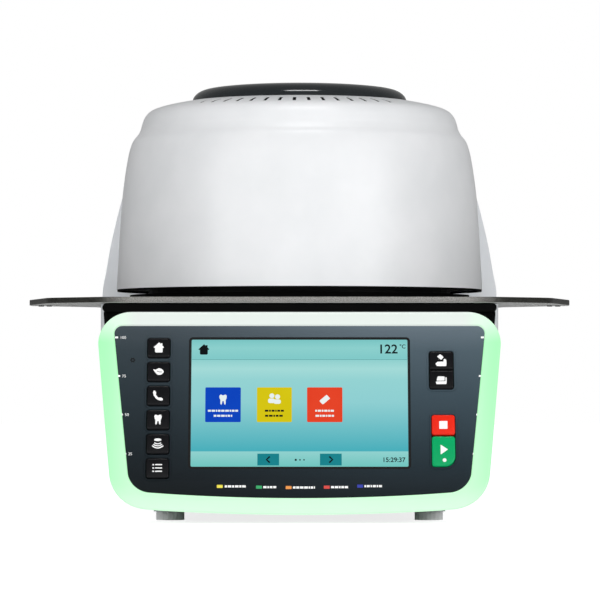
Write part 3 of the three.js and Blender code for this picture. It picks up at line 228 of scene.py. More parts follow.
def roundedCorners(corners, steps=8):
    # corners are (across, up) or (across, up, radius)
    points = []
    for i, corner in enumerate(corners):
        here = Vector(corner[:2])
        radius = corner[2] if len(corner) > 2 else 0
        if not radius:
            points.append(tuple(here))
            continue
        back = (Vector(corners[i - 1][:2]) - here).normalized()
        ahead = (Vector(corners[(i + 1) % len(corners)][:2]) - here).normalized()
        half = back.angle(ahead) / 2
        centre = here + (back + ahead).normalized() * radius / sin(half)
        start = here + back * radius / tan(half) - centre
        turn = start.angle_signed(here + ahead * radius / tan(half) - centre)
        for k in range(steps + 1):
            spoke = start.copy()
            spoke.rotate(Matrix.Rotation(-turn * k / steps, 2))
            points.append(tuple(centre + spoke))
    return points


def roundedBox(left, right, low, high, radius, steps=8):
    return roundedCorners([(*corner, radius) for corner in rectangle(left, right, low, high)], steps)


def circlePoints(radius, across=0.0, up=0.0, count=32):
    turns = [2 * pi * k / count for k in range(count)]
    return [(across + radius * cos(turn), up + radius * sin(turn)) for turn in turns]


def smoothProfile(points, steps=6):
    # Catmull-Rom through (radius, height) points; a point marked sharp as (r, z, 1) keeps its corner
    smooth = []
    for i in range(len(points) - 1):
        a, b = Vector(points[i][:2]), Vector(points[i + 1][:2])
        before = a if i == 0 or len(points[i]) > 2 else Vector(points[i - 1][:2])
        last = i + 2 == len(points) or len(points[i + 1]) > 2
        after = b if last else Vector(points[i + 2][:2])
        for k in range(steps):
            t = k / steps
            smooth.append(tuple(0.5 * (
                2 * a + (b - before) * t + (2 * before - 5 * a + 4 * b - after) * t ** 2
                + (3 * a - before - 3 * b + after) * t ** 3
            )))
    smooth.append(points[-1][:2])
    return smooth


# Solids from outlines

def plate(name, outlines, back, front, material=None, place=toMetres, edge=0.0, edgeSteps=3):
    # a flat plate with holes and softened edges, drawn as a filled curve and made a mesh
    drawing = bpy.data.curves.new(name, "CURVE")
    drawing.dimensions = "2D"
    drawing.fill_mode = "BOTH"
    drawing.extrude = (front - back) / 2 - edge
    drawing.bevel_depth = edge
    drawing.bevel_resolution = edgeSteps
    drawing.offset = -edge
    for outline in outlines:
        spline = drawing.splines.new("POLY")
        spline.points.add(len(outline) - 1)
        for point, (x, y) in zip(spline.points, outline):
            point.co = (x, y, 0, 1)
        spline.use_cyclic_u = True
    mesh = drawnMesh(name, drawing, (0, 0, (back + front) / 2))
    return finishMesh(name, mesh, material, place)


def prismX(name, outline, left, right):
    # an outline in (y, z) drawn out along X
    turn = Matrix(((0, 0, 1, 0), (1, 0, 0, 0), (0, 1, 0, 0), (0, 0, 0, 1)))
    return plate(name, [outline], left, right, None, toMetres @ turn)


def prismY(name, outline, front, back, material=None, edge=0.0):
    # an outline in (x, z) drawn out along Y
    turn = Matrix(((1, 0, 0, 0), (0, 0, -1, 0), (0, 1, 0, 0), (0, 0, 0, 1)))
    return plate(name, [outline], -back, -front, material, toMetres @ turn, edge)


def boxBetween(name, low, high):
    return plate(name, [rectangle(low[0], high[0], low[1], high[1])], low[2], high[2])


def lathe(name, profile, material, segments):
    # a closed profile of (radius, height) turned round Z
    work = bmesh.new()
    rings = []
    for radius, height in profile:
        if radius < 1e-6:
            rings.append([work.verts.new((0, 0, height))])
            continue
        circle = circlePoints(radius, count=segments)
        rings.append([work.verts.new((x, y, height)) for x, y in circle])
    for i, ring in enumerate(rings):
        after = rings[(i + 1) % len(rings)]
        for k in range(segments):
            corners = [ring[k % len(ring)], ring[(k + 1) % len(ring)]]
            corners += [after[(k + 1) % len(after)], after[k % len(after)]]
            face = list(dict.fromkeys(corners))
            if len(face) > 2:
                work.faces.new(face)
    return finishMesh(name, meshFrom(name, work), material)


# Changes to solids

def keepResult(piece):
    # what the modifiers make takes the place of the mesh
    result = meshOf(piece)
    piece.modifiers.clear()
    old = piece.data
    piece.data = result
    bpy.data.meshes.remove(old)


def combine(piece, tool, operation):
    modifier = piece.modifiers.new(operation, "BOOLEAN")
    modifier.operation = operation
    modifier.solver = "EXACT"
    modifier.object = tool
    keepResult(piece)
    removeObject(tool)


def carve(piece, *tools):
    for tool in tools:
        combine(piece, tool, "DIFFERENCE")


def softenEdges(piece, widthMm, segments, angle):
    modifier = piece.modifiers.new("soft edges", "BEVEL")
    modifier.width = widthMm * mm
    modifier.segments = segments
    modifier.limit_method = "ANGLE"
    modifier.angle_limit = radians(angle)
    keepResult(piece)


def joinPieces(name, pieces):
    with bpy.context.temp_override(active_object=pieces[0], selected_editable_objects=pieces):
        bpy.ops.object.join()
    pieces[0].name = name
    pieces[0].data.name = name
    return pieces[0]


# Geometry Nodes: a tree with named sizes that repeats a small shape on a piece

def newTree(name, **sizes):
    tree = bpy.data.node_groups.new(name, "GeometryNodeTree")
    tree.interface.new_socket("Geometry", in_out="INPUT", socket_type="NodeSocketGeometry")
    for label, value in sizes.items():
        kind = "NodeSocketInt" if isinstance(value, int) else "NodeSocketFloat"
        socket = tree.interface.new_socket(label, in_out="INPUT", socket_type=kind)
        socket.default_value = value
    tree.interface.new_socket("Geometry", in_out="OUTPUT", socket_type="NodeSocketGeometry")
    return tree, addNode(tree, "NodeGroupInput").outputs


def endTree(tree, geometry, material):
    realized = addNode(tree, "GeometryNodeRealizeInstances", {"Geometry": geometry})
    painted = addNode(tree, "GeometryNodeSetMaterial", {"Geometry": realized, "Material": material})
    addNode(tree, "NodeGroupOutput", {"Geometry": painted})
    return tree


def applyTree(piece, tree):
    piece.modifiers.new(tree.name, "NODES").node_group = tree
    keepResult(piece)


# Where the frame's parts stand, in millimetres
hingeY, hingeZ = 137, 276
seamSlope = 1 / 5.5
headSeam = 27.1  # from the hinge to the rear of the head, square to the seam


def seamAt(distance, z):
    return hingeY - distance / cos(atan(seamSlope)) + (z - hingeZ) * seamSlope


# Finishes

# painted ABS, moulded smooth: light warm grey, satin, with a soft wide highlight
housingPaint = mouldedPlastic("satin light grey ABS", "#DDDFE1", "#E6E7E9", 0.36, 0.8, 0.006)
# the same moulding on the base and column, with painted shade: a shade darker, since they stand further
# from the lamps
housingPaintInShade = mouldedPlastic("satin grey ABS", "#D3D6DA", "#DDE0E3", 0.4, 0.8, 0.006)
# glossy anthracite ABS: dark blue-grey with a clear highlight along its shoulder
capPlastic = mouldedPlastic("glossy anthracite ABS", "#171B1D", "#202527", 0.12, 0.7, 0.002)
# satin black polycarbonate: nearly black, fine grain
casePlastic = mouldedPlastic("satin black polycarbonate", "#101113", "#17191B", 0.45, 0.8, 0.01)
# the same in matt black: casing behind the panel, lip of the head's rim, plate edge and the black sheet of
# painted shade under the air slots
mattCase = mouldedPlastic("matt black polycarbonate", "#030303", "#070707", 0.8, 0.8, 0.01, 0.06)
# coated heat-proof plate: black, dull
blackCoating = mouldedPlastic("heat-proof black coating", "#050506", "#0A0A0B", 0.6, 0.6, 0.01, 0.3)
# vulcanised rubber: light grey, matt
footRubber = mouldedPlastic("vulcanised rubber", "#E3E4E4", "#EEEFEF", 0.85, 1.0, 0.03)
# silicone sheet: black and dull, slightly uneven
sealSilicone = mouldedPlastic("black silicone", "#121314", "#1B1C1D", 0.6, 1.2, 0.01)
# zinc-plated sheet: grey with faint spangle
zincSheet = workedMetal("zinc-plated sheet", "#8E9496", "#B2B7B9", 0.42, 5, 0.01)
# ground steel: bright, with fine lines along X
groundSteel = workedMetal("ground steel", "#9CA0A3", "#C3C7CA", 0.3, 6, 0.008, (1, 12, 12))
# brushed aluminium: pale, with close lines along X and a soft sheen
brushedAluminium = workedMetal("brushed aluminium", "#A9ADB0", "#C6CACC", 0.34, 8, 0.01, (1, 20, 20))
# blackened steel of the screws: nearly black with a low sheen
screwSteel = workedMetal("black-oxide steel", "#1A1B1D", "#2A2C2E", 0.35, 3, 0.006)
# resistance wire, oxidised by heat: dull brown
heatedWire = workedMetal("oxidised heating wire", "#4A3D33", "#7A6858", 0.55, 2, 0.01)
# vacuum-formed ceramic fibre: off-white, felted and matt
ceramicFibre = mouldedPlastic("pressed ceramic fibre", "#E6DECB", "#F6F1E6", 0.95, 2.2, 0.25)
# sintered silicon carbide: dark grey and granular
siliconCarbide = mouldedPlastic("silicon carbide", "#3C3B3B", "#5A5957", 0.7, 1.2, 0.04)
# lacquered circuit board: even green with a sheen
boardLacquer = mouldedPlastic("green solder lacquer", "#174D30", "#1F6B41", 0.4, 3, 0.01)


def frostedQuartz():
    # fused quartz: pale and glossy, with faint drawn streaks
    material, tree, shader, place = startMaterial("fused quartz", "#E9E8E3", 0.16)
    streaks = addNode(tree, "ShaderNodeMapping", {"Vector": place, "Scale": (1, 1, 0.08)})
    tone = mottle(tree, streaks, 6, "#D9DAD6", "#F3F2EE")[0]
    tree.links.new(tone, shader.inputs["Base Color"])
    shader.inputs["Transmission Weight"].default_value = 0.35
    return material


quartzGlass = frostedQuartz()


def speckledPlate():
    # nickel-coated steel sheet: a sandy, speckled matt grain, with painted shade that darkens it towards
    # the tips and painted light that makes it paler below
    material, tree, shader, place = startMaterial("sand-textured tray metal", "#8F8C82", 0.42, 0.75)
    speckMm, bumpMm = 0.55, 0.06
    # in metres from the middle and from the table
    tipFrom, tipTo, underFrom, underTo = 0.130, 0.151, 0.1674, 0.1678
    fine = addNode(tree, "ShaderNodeTexNoise",
                   {"Vector": place, "Scale": 1 / (speckMm * mm), "Detail": 4.0})
    speckle = addNode(tree, "ShaderNodeValToRGB", {"Fac": fine},
                      [(0.36, "#656460"), (0.5, "#858481"), (0.62, "#AAA9A6")])
    parts = addNode(tree, "ShaderNodeSeparateXYZ", {"Vector": place}).outputs
    outward = addNode(tree, "ShaderNodeMath", {0: parts["X"]}, operation="ABSOLUTE")
    # painted shade: darker towards the wing tips
    tip = addNode(tree, "ShaderNodeMapRange",
                  {"Value": outward, "From Min": tipFrom, "From Max": tipTo})
    dark = addNode(tree, "ShaderNodeValToRGB", {"Fac": fine}, [(0.4, "#1D1D1A"), (0.62, "#454541")])
    shade = addNode(tree, "ShaderNodeMix", {"Factor": tip, 6: speckle, 7: dark}, data_type="RGBA")
    # painted light: paler on the underside
    under = addNode(tree, "ShaderNodeMapRange", {
        "Value": parts["Z"], "From Min": underFrom, "From Max": underTo, "To Min": 1, "To Max": 0})
    whole = addNode(tree, "ShaderNodeMix",
                    {"Factor": under, 6: shade.outputs[2], 7: colour("#B9B9B7")}, data_type="RGBA")
    tree.links.new(whole.outputs[2], shader.inputs["Base Color"])
    bump = addNode(tree, "ShaderNodeBump", {"Height": fine, "Distance": bumpMm * mm})
    tree.links.new(bump.outputs["Normal"], shader.inputs["Normal"])
    varyRoughness(tree, shader, fine, 0.36, 0.55)
    return material


trayMetal = speckledPlate()


def litDiffuser():
    # opal acrylic lit from behind: nearly white on top, mint green down both sides, pale green below
    material, tree, shader, place = startMaterial("lit opal acrylic", "#D8F5DE", 0.3)
    # in metres from the middle and from the table
    sideFrom, sideTo, low, high = 0.122, 0.151, 0.012, 0.154
    patchMm, glowStrength, bodyShare = 30, 0.78, 0.32
    parts = addNode(tree, "ShaderNodeSeparateXYZ", {"Vector": place}).outputs
    side = addNode(tree, "ShaderNodeMath", {0: parts["X"]}, operation="ABSOLUTE")
    sideShare = addNode(tree, "ShaderNodeMapRange",
                        {"Value": side, "From Min": sideFrom, "From Max": sideTo},
                        interpolation_type="SMOOTHSTEP")
    height = addNode(tree, "ShaderNodeMapRange",
                     {"Value": parts["Z"], "From Min": low, "From Max": high})
    across = addNode(tree, "ShaderNodeValToRGB", {"Fac": height}, [
        (0.0, "#CDFBD5"), (0.12, "#C3FBCC"), (0.86, "#C8FFD2"), (0.97, "#DDE5E0")])
    outer = addNode(tree, "ShaderNodeValToRGB", {"Fac": height}, [
        (0.0, "#BFF7C9"), (0.15, "#A9F7B8"), (0.88, "#A6FBB6"), (1.0, "#D9FFE0")])
    glow = addNode(tree, "ShaderNodeMix", {"Factor": sideShare, 6: across, 7: outer},
                   data_type="RGBA").outputs[2]
    soft = addNode(tree, "ShaderNodeTexNoise",
                   {"Vector": place, "Scale": 1 / (patchMm * mm), "Detail": 1.0})
    patch = addNode(tree, "ShaderNodeMapRange", {"Value": soft, "To Min": 0.97, "To Max": 1.02})
    lit = addNode(tree, "ShaderNodeVectorMath", {0: glow, "Scale": patch}, operation="SCALE")
    tree.links.new(lit.outputs[0], shader.inputs["Emission Color"])
    shader.inputs["Emission Strength"].default_value = glowStrength
    body = addNode(tree, "ShaderNodeVectorMath", {0: glow, "Scale": bodyShare}, operation="SCALE")
    tree.links.new(body.outputs[0], shader.inputs["Base Color"])
    return material


opalDiffuser = litDiffuser()


def fasciaWithPaintedSheen():
    # back-printed polyester over a moulded carrier: slate blue, with a painted sheen that makes it lighter
    # towards its top and right
    material, tree, shader, place = startMaterial("slate fascia foil", "#1B2227", 0.5, specular=0.12)
    # in metres: the heights and the places across between which the painted sheen grows
    low, high, left, right = 0.02, 0.15, -0.13, 0.1
    parts = addNode(tree, "ShaderNodeSeparateXYZ", {"Vector": place}).outputs
    height = addNode(tree, "ShaderNodeMapRange",
                     {"Value": parts["Z"], "From Min": low, "From Max": high})
    # painted sheen: dark at the foot, lighter towards the top
    tone = addNode(tree, "ShaderNodeValToRGB", {"Fac": height}, [
        (0.0, "#0C1419"), (0.3, "#1E2A31"), (0.6, "#2F3C44"), (0.85, "#3D4A52"), (1.0, "#515C64")])
    # more painted sheen towards the right
    share = addNode(tree, "ShaderNodeMapRange", {
        "Value": parts["X"], "From Min": left, "From Max": right, "To Min": 0.62, "To Max": 1.42,
    }, interpolation_type="SMOOTHSTEP")
    lit = addNode(tree, "ShaderNodeVectorMath", {0: tone, "Scale": share}, operation="SCALE")
    tree.links.new(lit.outputs[0], shader.inputs["Base Color"])
    grain = grainBump(tree, shader, place, 0.9, 0.02)
    varyRoughness(tree, shader, grain, 0.46, 0.58)
    return material


fasciaFoil = fasciaWithPaintedSheen()


def keyPlastic(name, lowHex, highHex):
    # silicone-dome key caps, moulded with a satin skin
    return mouldedPlastic(name, lowHex, highHex, 0.24, 0.8, 0.004, 0.16)


blackKey = keyPlastic("black key cap", "#07070A", "#0C0D11")
redKey = keyPlastic("red key cap", "#E02412", "#EA2B17")
greenKey = keyPlastic("green key cap", "#009C5C", "#00A965")
# screen-printed inks: flat, opaque and half matt
whiteInk = mouldedPlastic("white printing ink", "#EDEEEE", "#FAFAFA", 0.5, 1.2, 0.002)
darkInk = mouldedPlastic("black printing ink", "#040405", "#08090A", 0.5, 1.2, 0.002, 0.2)
print("finishes made")


# Hood: a turned shell, flat at the rear, with a ring of air slots round the cap

hood = {
    # radius and height, with a 1 where the corner stays sharp
    "outside": [
        (147.0, 180.5, 1), (146.4, 192), (145.6, 205), (144.3, 229), (142.5, 254), (140.6, 270),
        (138.4, 284), (136.4, 293), (133.8, 299.8), (130.2, 304.4), (128.0, 308.4), (126.7, 313),
        (124.6, 318.6), (120.3, 323.4), (113.5, 326.3), (104, 328.7), (92.4, 330.9), (89.3, 331.3, 1),
    ],
    "wall": 3.0, "segments": 200, "profileSteps": 5, "openBelow": 170.0,
    "crownHole": 60.0, "crownSegments": 96, "crownDepth": 12.0, "crownRise": 4.0,
    "ventsPerArc": 15, "ventArcs": 2, "ventPitch": 5.75, "firstVent": -42.3, "ventRise": 6.0,
    "ventInner": 101.5, "ventOuter": 116.0, "ventWidth": 2.6,
    "shadeSheetMargin": 2.0, "shadeSheetTop": 0.35, "shadeSheetBottom": 1.1, "shadeSheetSegments": 120,
    "armX": 60.0, "armHalf": 6.4, "armFront": 80.0, "armLow": 268.6, "armHigh": 283.4,
    "lipInner": 144.2, "lipOuter": 146.5, "lipLow": 179.0, "lipHigh": 180.6, "lipInset": 1.0,
}


def ventTree(material):
    top = hood["outside"][-1][1]
    inner, outer = hood["ventInner"], hood["ventOuter"]
    low, high = top - hood["crownDepth"], top + hood["ventRise"]
    tree, given = newTree(
        "air slots round the crown", perArc=hood["ventsPerArc"], arcs=hood["ventArcs"],
        pitchDegrees=hood["ventPitch"], firstDegrees=hood["firstVent"],
        radius=(inner + outer) / 2 * mm, length=(outer - inner) * mm, width=hood["ventWidth"] * mm,
        height=(low + high) / 2 * mm, depth=(high - low) * mm,
    )
    total = addNode(tree, "ShaderNodeMath", {0: given["perArc"], 1: given["arcs"]},
                    operation="MULTIPLY")
    points = addNode(tree, "GeometryNodePoints", {"Count": total})
    index = addNode(tree, "GeometryNodeInputIndex")
    inArc = addNode(tree, "ShaderNodeMath", {0: index, 1: given["perArc"]}, operation="MODULO")
    share = addNode(tree, "ShaderNodeMath", {0: index, 1: given["perArc"]}, operation="DIVIDE")
    arc = addNode(tree, "ShaderNodeMath", {0: share}, operation="FLOOR")
    slotTurn = addNode(tree, "ShaderNodeMath",
                       {0: inArc, 1: given["pitchDegrees"], 2: given["firstDegrees"]},
                       operation="MULTIPLY_ADD")
    arcTurn = addNode(tree, "ShaderNodeMath", {0: arc, 1: 180.0, 2: -90.0}, operation="MULTIPLY_ADD")
    turn = addNode(tree, "ShaderNodeMath", {0: slotTurn, 1: arcTurn}, operation="ADD")
    angle = addNode(tree, "ShaderNodeMath", {0: turn}, operation="RADIANS")
    cosine = addNode(tree, "ShaderNodeMath", {0: angle}, operation="COSINE")
    sine = addNode(tree, "ShaderNodeMath", {0: angle}, operation="SINE")
    x = addNode(tree, "ShaderNodeMath", {0: cosine, 1: given["radius"]}, operation="MULTIPLY")
    y = addNode(tree, "ShaderNodeMath", {0: sine, 1: given["radius"]}, operation="MULTIPLY")
    place = addNode(tree, "ShaderNodeCombineXYZ", {"X": x, "Y": y, "Z": given["height"]})
    spread = addNode(tree, "GeometryNodeSetPosition", {"Geometry": points, "Position": place})
    size = addNode(tree, "ShaderNodeCombineXYZ",
                   {"X": given["length"], "Y": given["width"], "Z": given["depth"]})
    slot = addNode(tree, "GeometryNodeMeshCube", {"Size": size})
    facing = addNode(tree, "ShaderNodeCombineXYZ", {"Z": angle})
    turned = addNode(tree, "FunctionNodeEulerToRotation", {"Euler": facing})
    slots = addNode(tree, "GeometryNodeInstanceOnPoints",
                    {"Points": spread, "Instance": slot, "Rotation": turned})
    solidSlots = addNode(tree, "GeometryNodeRealizeInstances", {"Geometry": slots})
    opened = addNode(tree, "GeometryNodeMeshBoolean",
                     {"Mesh 1": given["Geometry"], "Mesh 2": solidSlots},
                     operation="DIFFERENCE", solver="EXACT")
    return endTree(tree, opened, material)


def keepInFront(piece, distance):
    # keeps what lies in front of a plane along the head's rear seam
    low, high, ahead = 150, 360, -400
    outline = [(ahead, low), (seamAt(distance, low), low), (seamAt(distance, high), high), (ahead, high)]
    combine(piece, prismX("in front of the seam", outline, -beyond, beyond), "INTERSECT")


def makeHood():
    wall, segments = hood["wall"], hood["segments"]
    outside = smoothProfile(hood["outside"], hood["profileSteps"])
    rim, top = outside[0][1], outside[-1][1]
    outer = lathe("head_shell", [(0, rim)] + outside + [(0, top)], housingPaint, segments)
    keepInFront(outer, headSeam)
    # towards the crown the inside sinks by the thickness of the wall
    inside = [(r - wall, z - wall * max(0.0, (z - rim) / (top - rim)) ** 4) for r, z in outside]
    inside[-1] = (inside[-1][0], top - wall)
    foot = [(0, hood["openBelow"]), (inside[0][0], hood["openBelow"])]
    inner = lathe("hood inside", foot + inside + [(0, top - wall)], None, segments)
    keepInFront(inner, headSeam + wall)
    crown = plate("crown hole", [circlePoints(hood["crownHole"], count=hood["crownSegments"])],
                  top - hood["crownDepth"], top + hood["crownRise"])
    arms = [
        boxBetween("arm opening",
                   (side * hood["armX"] - hood["armHalf"], hood["armFront"], hood["armLow"]),
                   (side * hood["armX"] + hood["armHalf"], hingeY, hood["armHigh"]))
        for side in (-1, 1)
    ]
    carve(outer, inner, crown, *arms)
    applyTree(outer, ventTree(housingPaint))
    smoothFaces(outer.data)
    ride(outer, "head", "light_grey_housing", "head_housing")
    # a black sheet set close under the air slots, inside the wall, as painted shade for the dark inside of
    # the slots
    nearest, furthest = hood["ventInner"] - hood["shadeSheetMargin"], hood["ventOuter"] + hood["shadeSheetMargin"]
    course = [(r, z) for r, z in outside if nearest < r < furthest]
    shadeSheet = [(r, z - hood["shadeSheetTop"]) for r, z in course]
    shadeSheet += [(r, z - hood["shadeSheetBottom"]) for r, z in reversed(course)]
    ride(lathe("vent_gauze", shadeSheet, mattCase, hood["shadeSheetSegments"]), "head", "black_plastic")
    # black lip round the rim
    section = rectangle(hood["lipInner"], hood["lipOuter"], hood["lipLow"], hood["lipHigh"])
    lip = lathe("rim_lip", section, mattCase, segments)
    keepInFront(lip, headSeam + hood["lipInset"])
    smoothFaces(lip.data)
    ride(lip, "head", "black_plastic")


makeHood()
print("hood made")


# Cap: a shallow glossy lid with a rolled shoulder, hollow below

cap = {
    "outside": [(0, 344.0), (30, 343.85), (55, 343.4), (68, 342.4), (75.8, 341.2), (80.6, 339.4),
                (83.8, 337.0), (85.6, 334.4), (86.3, 331.6, 1)],
    "wall": 2.5, "segments": 160, "profileSteps": 5,
}


def makeCap():
    outside = smoothProfile(cap["outside"], cap["profileSteps"])
    wall, (rimRadius, rimHeight) = cap["wall"], outside[-1]
    inside = [(max(0.0, r - wall), z - wall) for r, z in outside if z - wall > rimHeight]
    profile = outside + [(rimRadius - wall, rimHeight)] + inside[::-1]
    piece = lathe("cap_shell", profile, capPlastic, cap["segments"])
    ride(piece, "head", "dark_cap", "head_cap")


makeCap()
print("cap made")


# Rear column: its front view and its side view cut each other out, with rounded edges

column = {
    "footHalf": 163.4, "low": 167.2, "high": 300.0, "rear": 215.0, "crown": 24.0, "rearRadius": 26.0,
    # shares of the half width and of the height
    "halfShares": [(1, 0), (0.998, 0.117), (0.982, 0.23), (0.962, 0.38), (0.936, 0.53), (0.906, 0.68),
                   (0.882, 0.775), (0.845, 0.857), (0.783, 0.932), (0.69, 0.985), (0.58, 1)],
    "edge": 4.5, "wall": 3.0, "overrun": 4.0, "frontCut": 60.0, "rearCut": 240.0, "sideCut": 175.0,
    "slotX": 60.0, "slotHalf": 7.5, "slotFront": 60.0, "slotLow": 262.0, "slotHigh": 310.0,
    "profileSteps": 4, "cornerSteps": 10, "edgeSteps": 4, "edgeAngle": 45,
}


def columnFront(inset):
    low, height = column["low"], column["high"] - column["low"]
    right = smoothProfile([(share * column["footHalf"], low + up * height)
                           for share, up in column["halfShares"]], column["profileSteps"])
    right = [(x - inset, z - inset * (z - low) / height) for x, z in right]
    right[0] = (right[0][0], right[0][1] - (column["overrun"] if inset else 0))
    return right + [(-x, z) for x, z in reversed(right)]


def columnSide(inset):
    radius = column["crown"] - inset
    low = column["low"] - (column["overrun"] if inset else 0)
    lean, steps = atan(seamSlope), column["cornerSteps"]
    crown = []
    for k in range(steps + 1):
        angle = pi - lean - (pi / 2 - lean) * k / steps
        crown.append((hingeY + radius * cos(angle), hingeZ + radius * sin(angle)))
    rear = column["rear"] - inset
    return roundedCorners([
        (seamAt(radius, low), low), *crown, (rear, hingeZ + radius, column["rearRadius"] - inset),
        (rear, low),
    ], steps)


def columnSolid(name, inset, material=None):
    solid = prismY(name, columnFront(inset), column["frontCut"], column["rearCut"], material)
    side = prismX("column side", columnSide(inset), -column["sideCut"], column["sideCut"])
    combine(solid, side, "INTERSECT")
    return solid


def makeColumn():
    piece = columnSolid("column_shell", 0, housingPaintInShade)
    softenEdges(piece, column["edge"], column["edgeSteps"], column["edgeAngle"])
    inner = columnSolid("column inside", column["wall"])
    slots = [
        boxBetween("arm slot",
                   (side * column["slotX"] - column["slotHalf"], column["slotFront"], column["slotLow"]),
                   (side * column["slotX"] + column["slotHalf"], hingeY, column["slotHigh"]))
        for side in (-1, 1)
    ]
    carve(piece, inner, *slots)
    smoothFaces(piece.data)
    ride(piece, "base", "light_grey_housing", "rear_column")


makeColumn()
print("column made")


# Base housing: a tub open below, with windows for the fittings and the panel's cables

base = {
    "frontHalf": 152.5, "rearHalf": 163.0, "front": -150.0, "taperEnd": 100.0, "rear": 215.0,
    "frontRadius": 14.0, "rearRadius": 20.0, "low": 10.1, "deck": 166.9, "wall": 3.0, "edge": 1.6,
    "footHalf": 133.0, "footRadius": 21.0, "boreRadius": 48.6,
    # openings: left, right, low, high and corner radius, then from where to where each is cut
    "under": (-105, 105, -143, 208, 6), "window": (-110, 110, 22, 139.9, 6),
    "cables": (-94.5, 94.5, 39.9, 125, 8), "service": (-128, 128, 106, 204, 6),
    "underCut": (5, 20), "windowCut": (205, 222), "cableCut": (-156, -140), "deckCut": (160, 172),
    "viewCut": (-160, 225),
    "planSteps": 10, "viewSteps": 14, "boreSegments": 72, "edgeSteps": 3, "edgeAngle": 40,
}


def basePlan(inset):
    front, rear = base["frontHalf"] - inset, base["rearHalf"] - inset
    frontRadius, rearRadius = base["frontRadius"] - inset, base["rearRadius"] - inset
    return roundedCorners([
        (-front, base["front"] + inset, frontRadius), (front, base["front"] + inset, frontRadius),
        (rear, base["taperEnd"]), (rear, base["rear"] - inset, rearRadius),
        (-rear, base["rear"] - inset, rearRadius), (-rear, base["taperEnd"]),
    ], base["planSteps"])


def baseSolid(name, inset, material=None):
    # the plan and the front view cut each other out: the sides lean in and turn under at the foot
    solid = plate(name, [basePlan(inset)], base["low"], base["deck"] - inset, material)
    foot, low, radius = base["footHalf"] - inset, base["low"] + inset, base["footRadius"] - inset
    view = roundedCorners([
        (-foot, low, radius), (foot, low, radius), (base["rearHalf"] - inset, base["deck"]),
        (inset - base["rearHalf"], base["deck"]),
    ], base["viewSteps"])
    combine(solid, prismY("base from the front", view, *base["viewCut"]), "INTERSECT")
    return solid


def makeBase():
    piece = baseSolid("base_tub", 0, housingPaintInShade)
    softenEdges(piece, base["edge"], base["edgeSteps"], base["edgeAngle"])
    inside = baseSolid("tub inside", base["wall"])
    under = plate("open underside", [roundedBox(*base["under"])], *base["underCut"])
    window = prismY("rear window", roundedBox(*base["window"]), *base["windowCut"])
    cables = prismY("cable window", roundedBox(*base["cables"]), *base["cableCut"])
    service = plate("service opening", [roundedBox(*base["service"])], *base["deckCut"])
    circle = circlePoints(base["boreRadius"], count=base["boreSegments"])
    bore = plate("chamber bore", [circle], *base["deckCut"])
    carve(piece, inside, under, window, cables, service, bore)
    smoothFaces(piece.data)
    ride(piece, "base", "light_grey_housing", "base_housing")


makeBase()
print("base made")


# Cooling tray: one textured sheet with two wings and cooling holes

tray = {
    # x, y and corner radius
    "right": [(150, -160, 30), (195, -122, 30), (215, -34, 7), (215, -18, 7), (166, 40, 6), (160, 88, 2)],
    "low": 167.2, "high": 171.8, "edge": 0.7, "cornerSteps": 12,
    "boreRadius": 48.6, "boreSegments": 96,
    "holeRadius": 3.0, "holeColumns": 2, "holeRows": 4, "holePitchX": 12.0, "holePitchY": 14.0,
    "holeX": 186.0, "holeY": -47.0, "drillZ": 169.5, "drillDepth": 12.0,
    "studs": (198.6, 205.0), "studY": -44.0, "studRadius": 2.2, "studDrop": 0.9, "studSink": 0.3,
    "studEdge": 0.3,
    "foldInner": 134.2, "foldOuter": 136.4, "foldLow": 172.1, "foldHigh": 176.1, "foldSegments": 200,
    "foldCut": ((-200, 84, 160), (200, 200, 190)),
}


def holeTree(material):
    tree, given = newTree(
        "grid of round holes", columns=tray["holeColumns"], rows=tray["holeRows"],
        pitchX=tray["holePitchX"] * mm, pitchY=tray["holePitchY"] * mm, centreX=tray["holeX"] * mm,
        centreY=tray["holeY"] * mm, centreZ=tray["drillZ"] * mm, radius=tray["holeRadius"] * mm,
        depth=tray["drillDepth"] * mm,
    )
    across = addNode(tree, "ShaderNodeMath", {0: given["columns"], 1: 1.0}, operation="SUBTRACT")
    along = addNode(tree, "ShaderNodeMath", {0: given["rows"], 1: 1.0}, operation="SUBTRACT")
    wide = addNode(tree, "ShaderNodeMath", {0: across, 1: given["pitchX"]}, operation="MULTIPLY")
    long = addNode(tree, "ShaderNodeMath", {0: along, 1: given["pitchY"]}, operation="MULTIPLY")
    grid = addNode(tree, "GeometryNodeMeshGrid", {
        "Size X": wide, "Size Y": long, "Vertices X": given["columns"], "Vertices Y": given["rows"]})
    centre = addNode(tree, "ShaderNodeCombineXYZ",
                     {"X": given["centreX"], "Y": given["centreY"], "Z": given["centreZ"]})
    right = addNode(tree, "GeometryNodeTransform", {"Geometry": grid, "Translation": centre})
    left = addNode(tree, "GeometryNodeTransform", {"Geometry": right, "Scale": (-1, 1, 1)})
    places = addNode(tree, "GeometryNodeJoinGeometry", {"Geometry": right})
    tree.links.new(left.outputs[0], places.inputs[0])
    drill = addNode(tree, "GeometryNodeMeshCylinder",
                    {"Vertices": 32, "Radius": given["radius"], "Depth": given["depth"]})
    drills = addNode(tree, "GeometryNodeInstanceOnPoints", {"Points": places, "Instance": drill})
    solidDrills = addNode(tree, "GeometryNodeRealizeInstances", {"Geometry": drills})
    opened = addNode(tree, "GeometryNodeMeshBoolean",
                     {"Mesh 1": given["Geometry"], "Mesh 2": solidDrills},
                     operation="DIFFERENCE", solver="EXACT")
    return endTree(tree, opened, material)


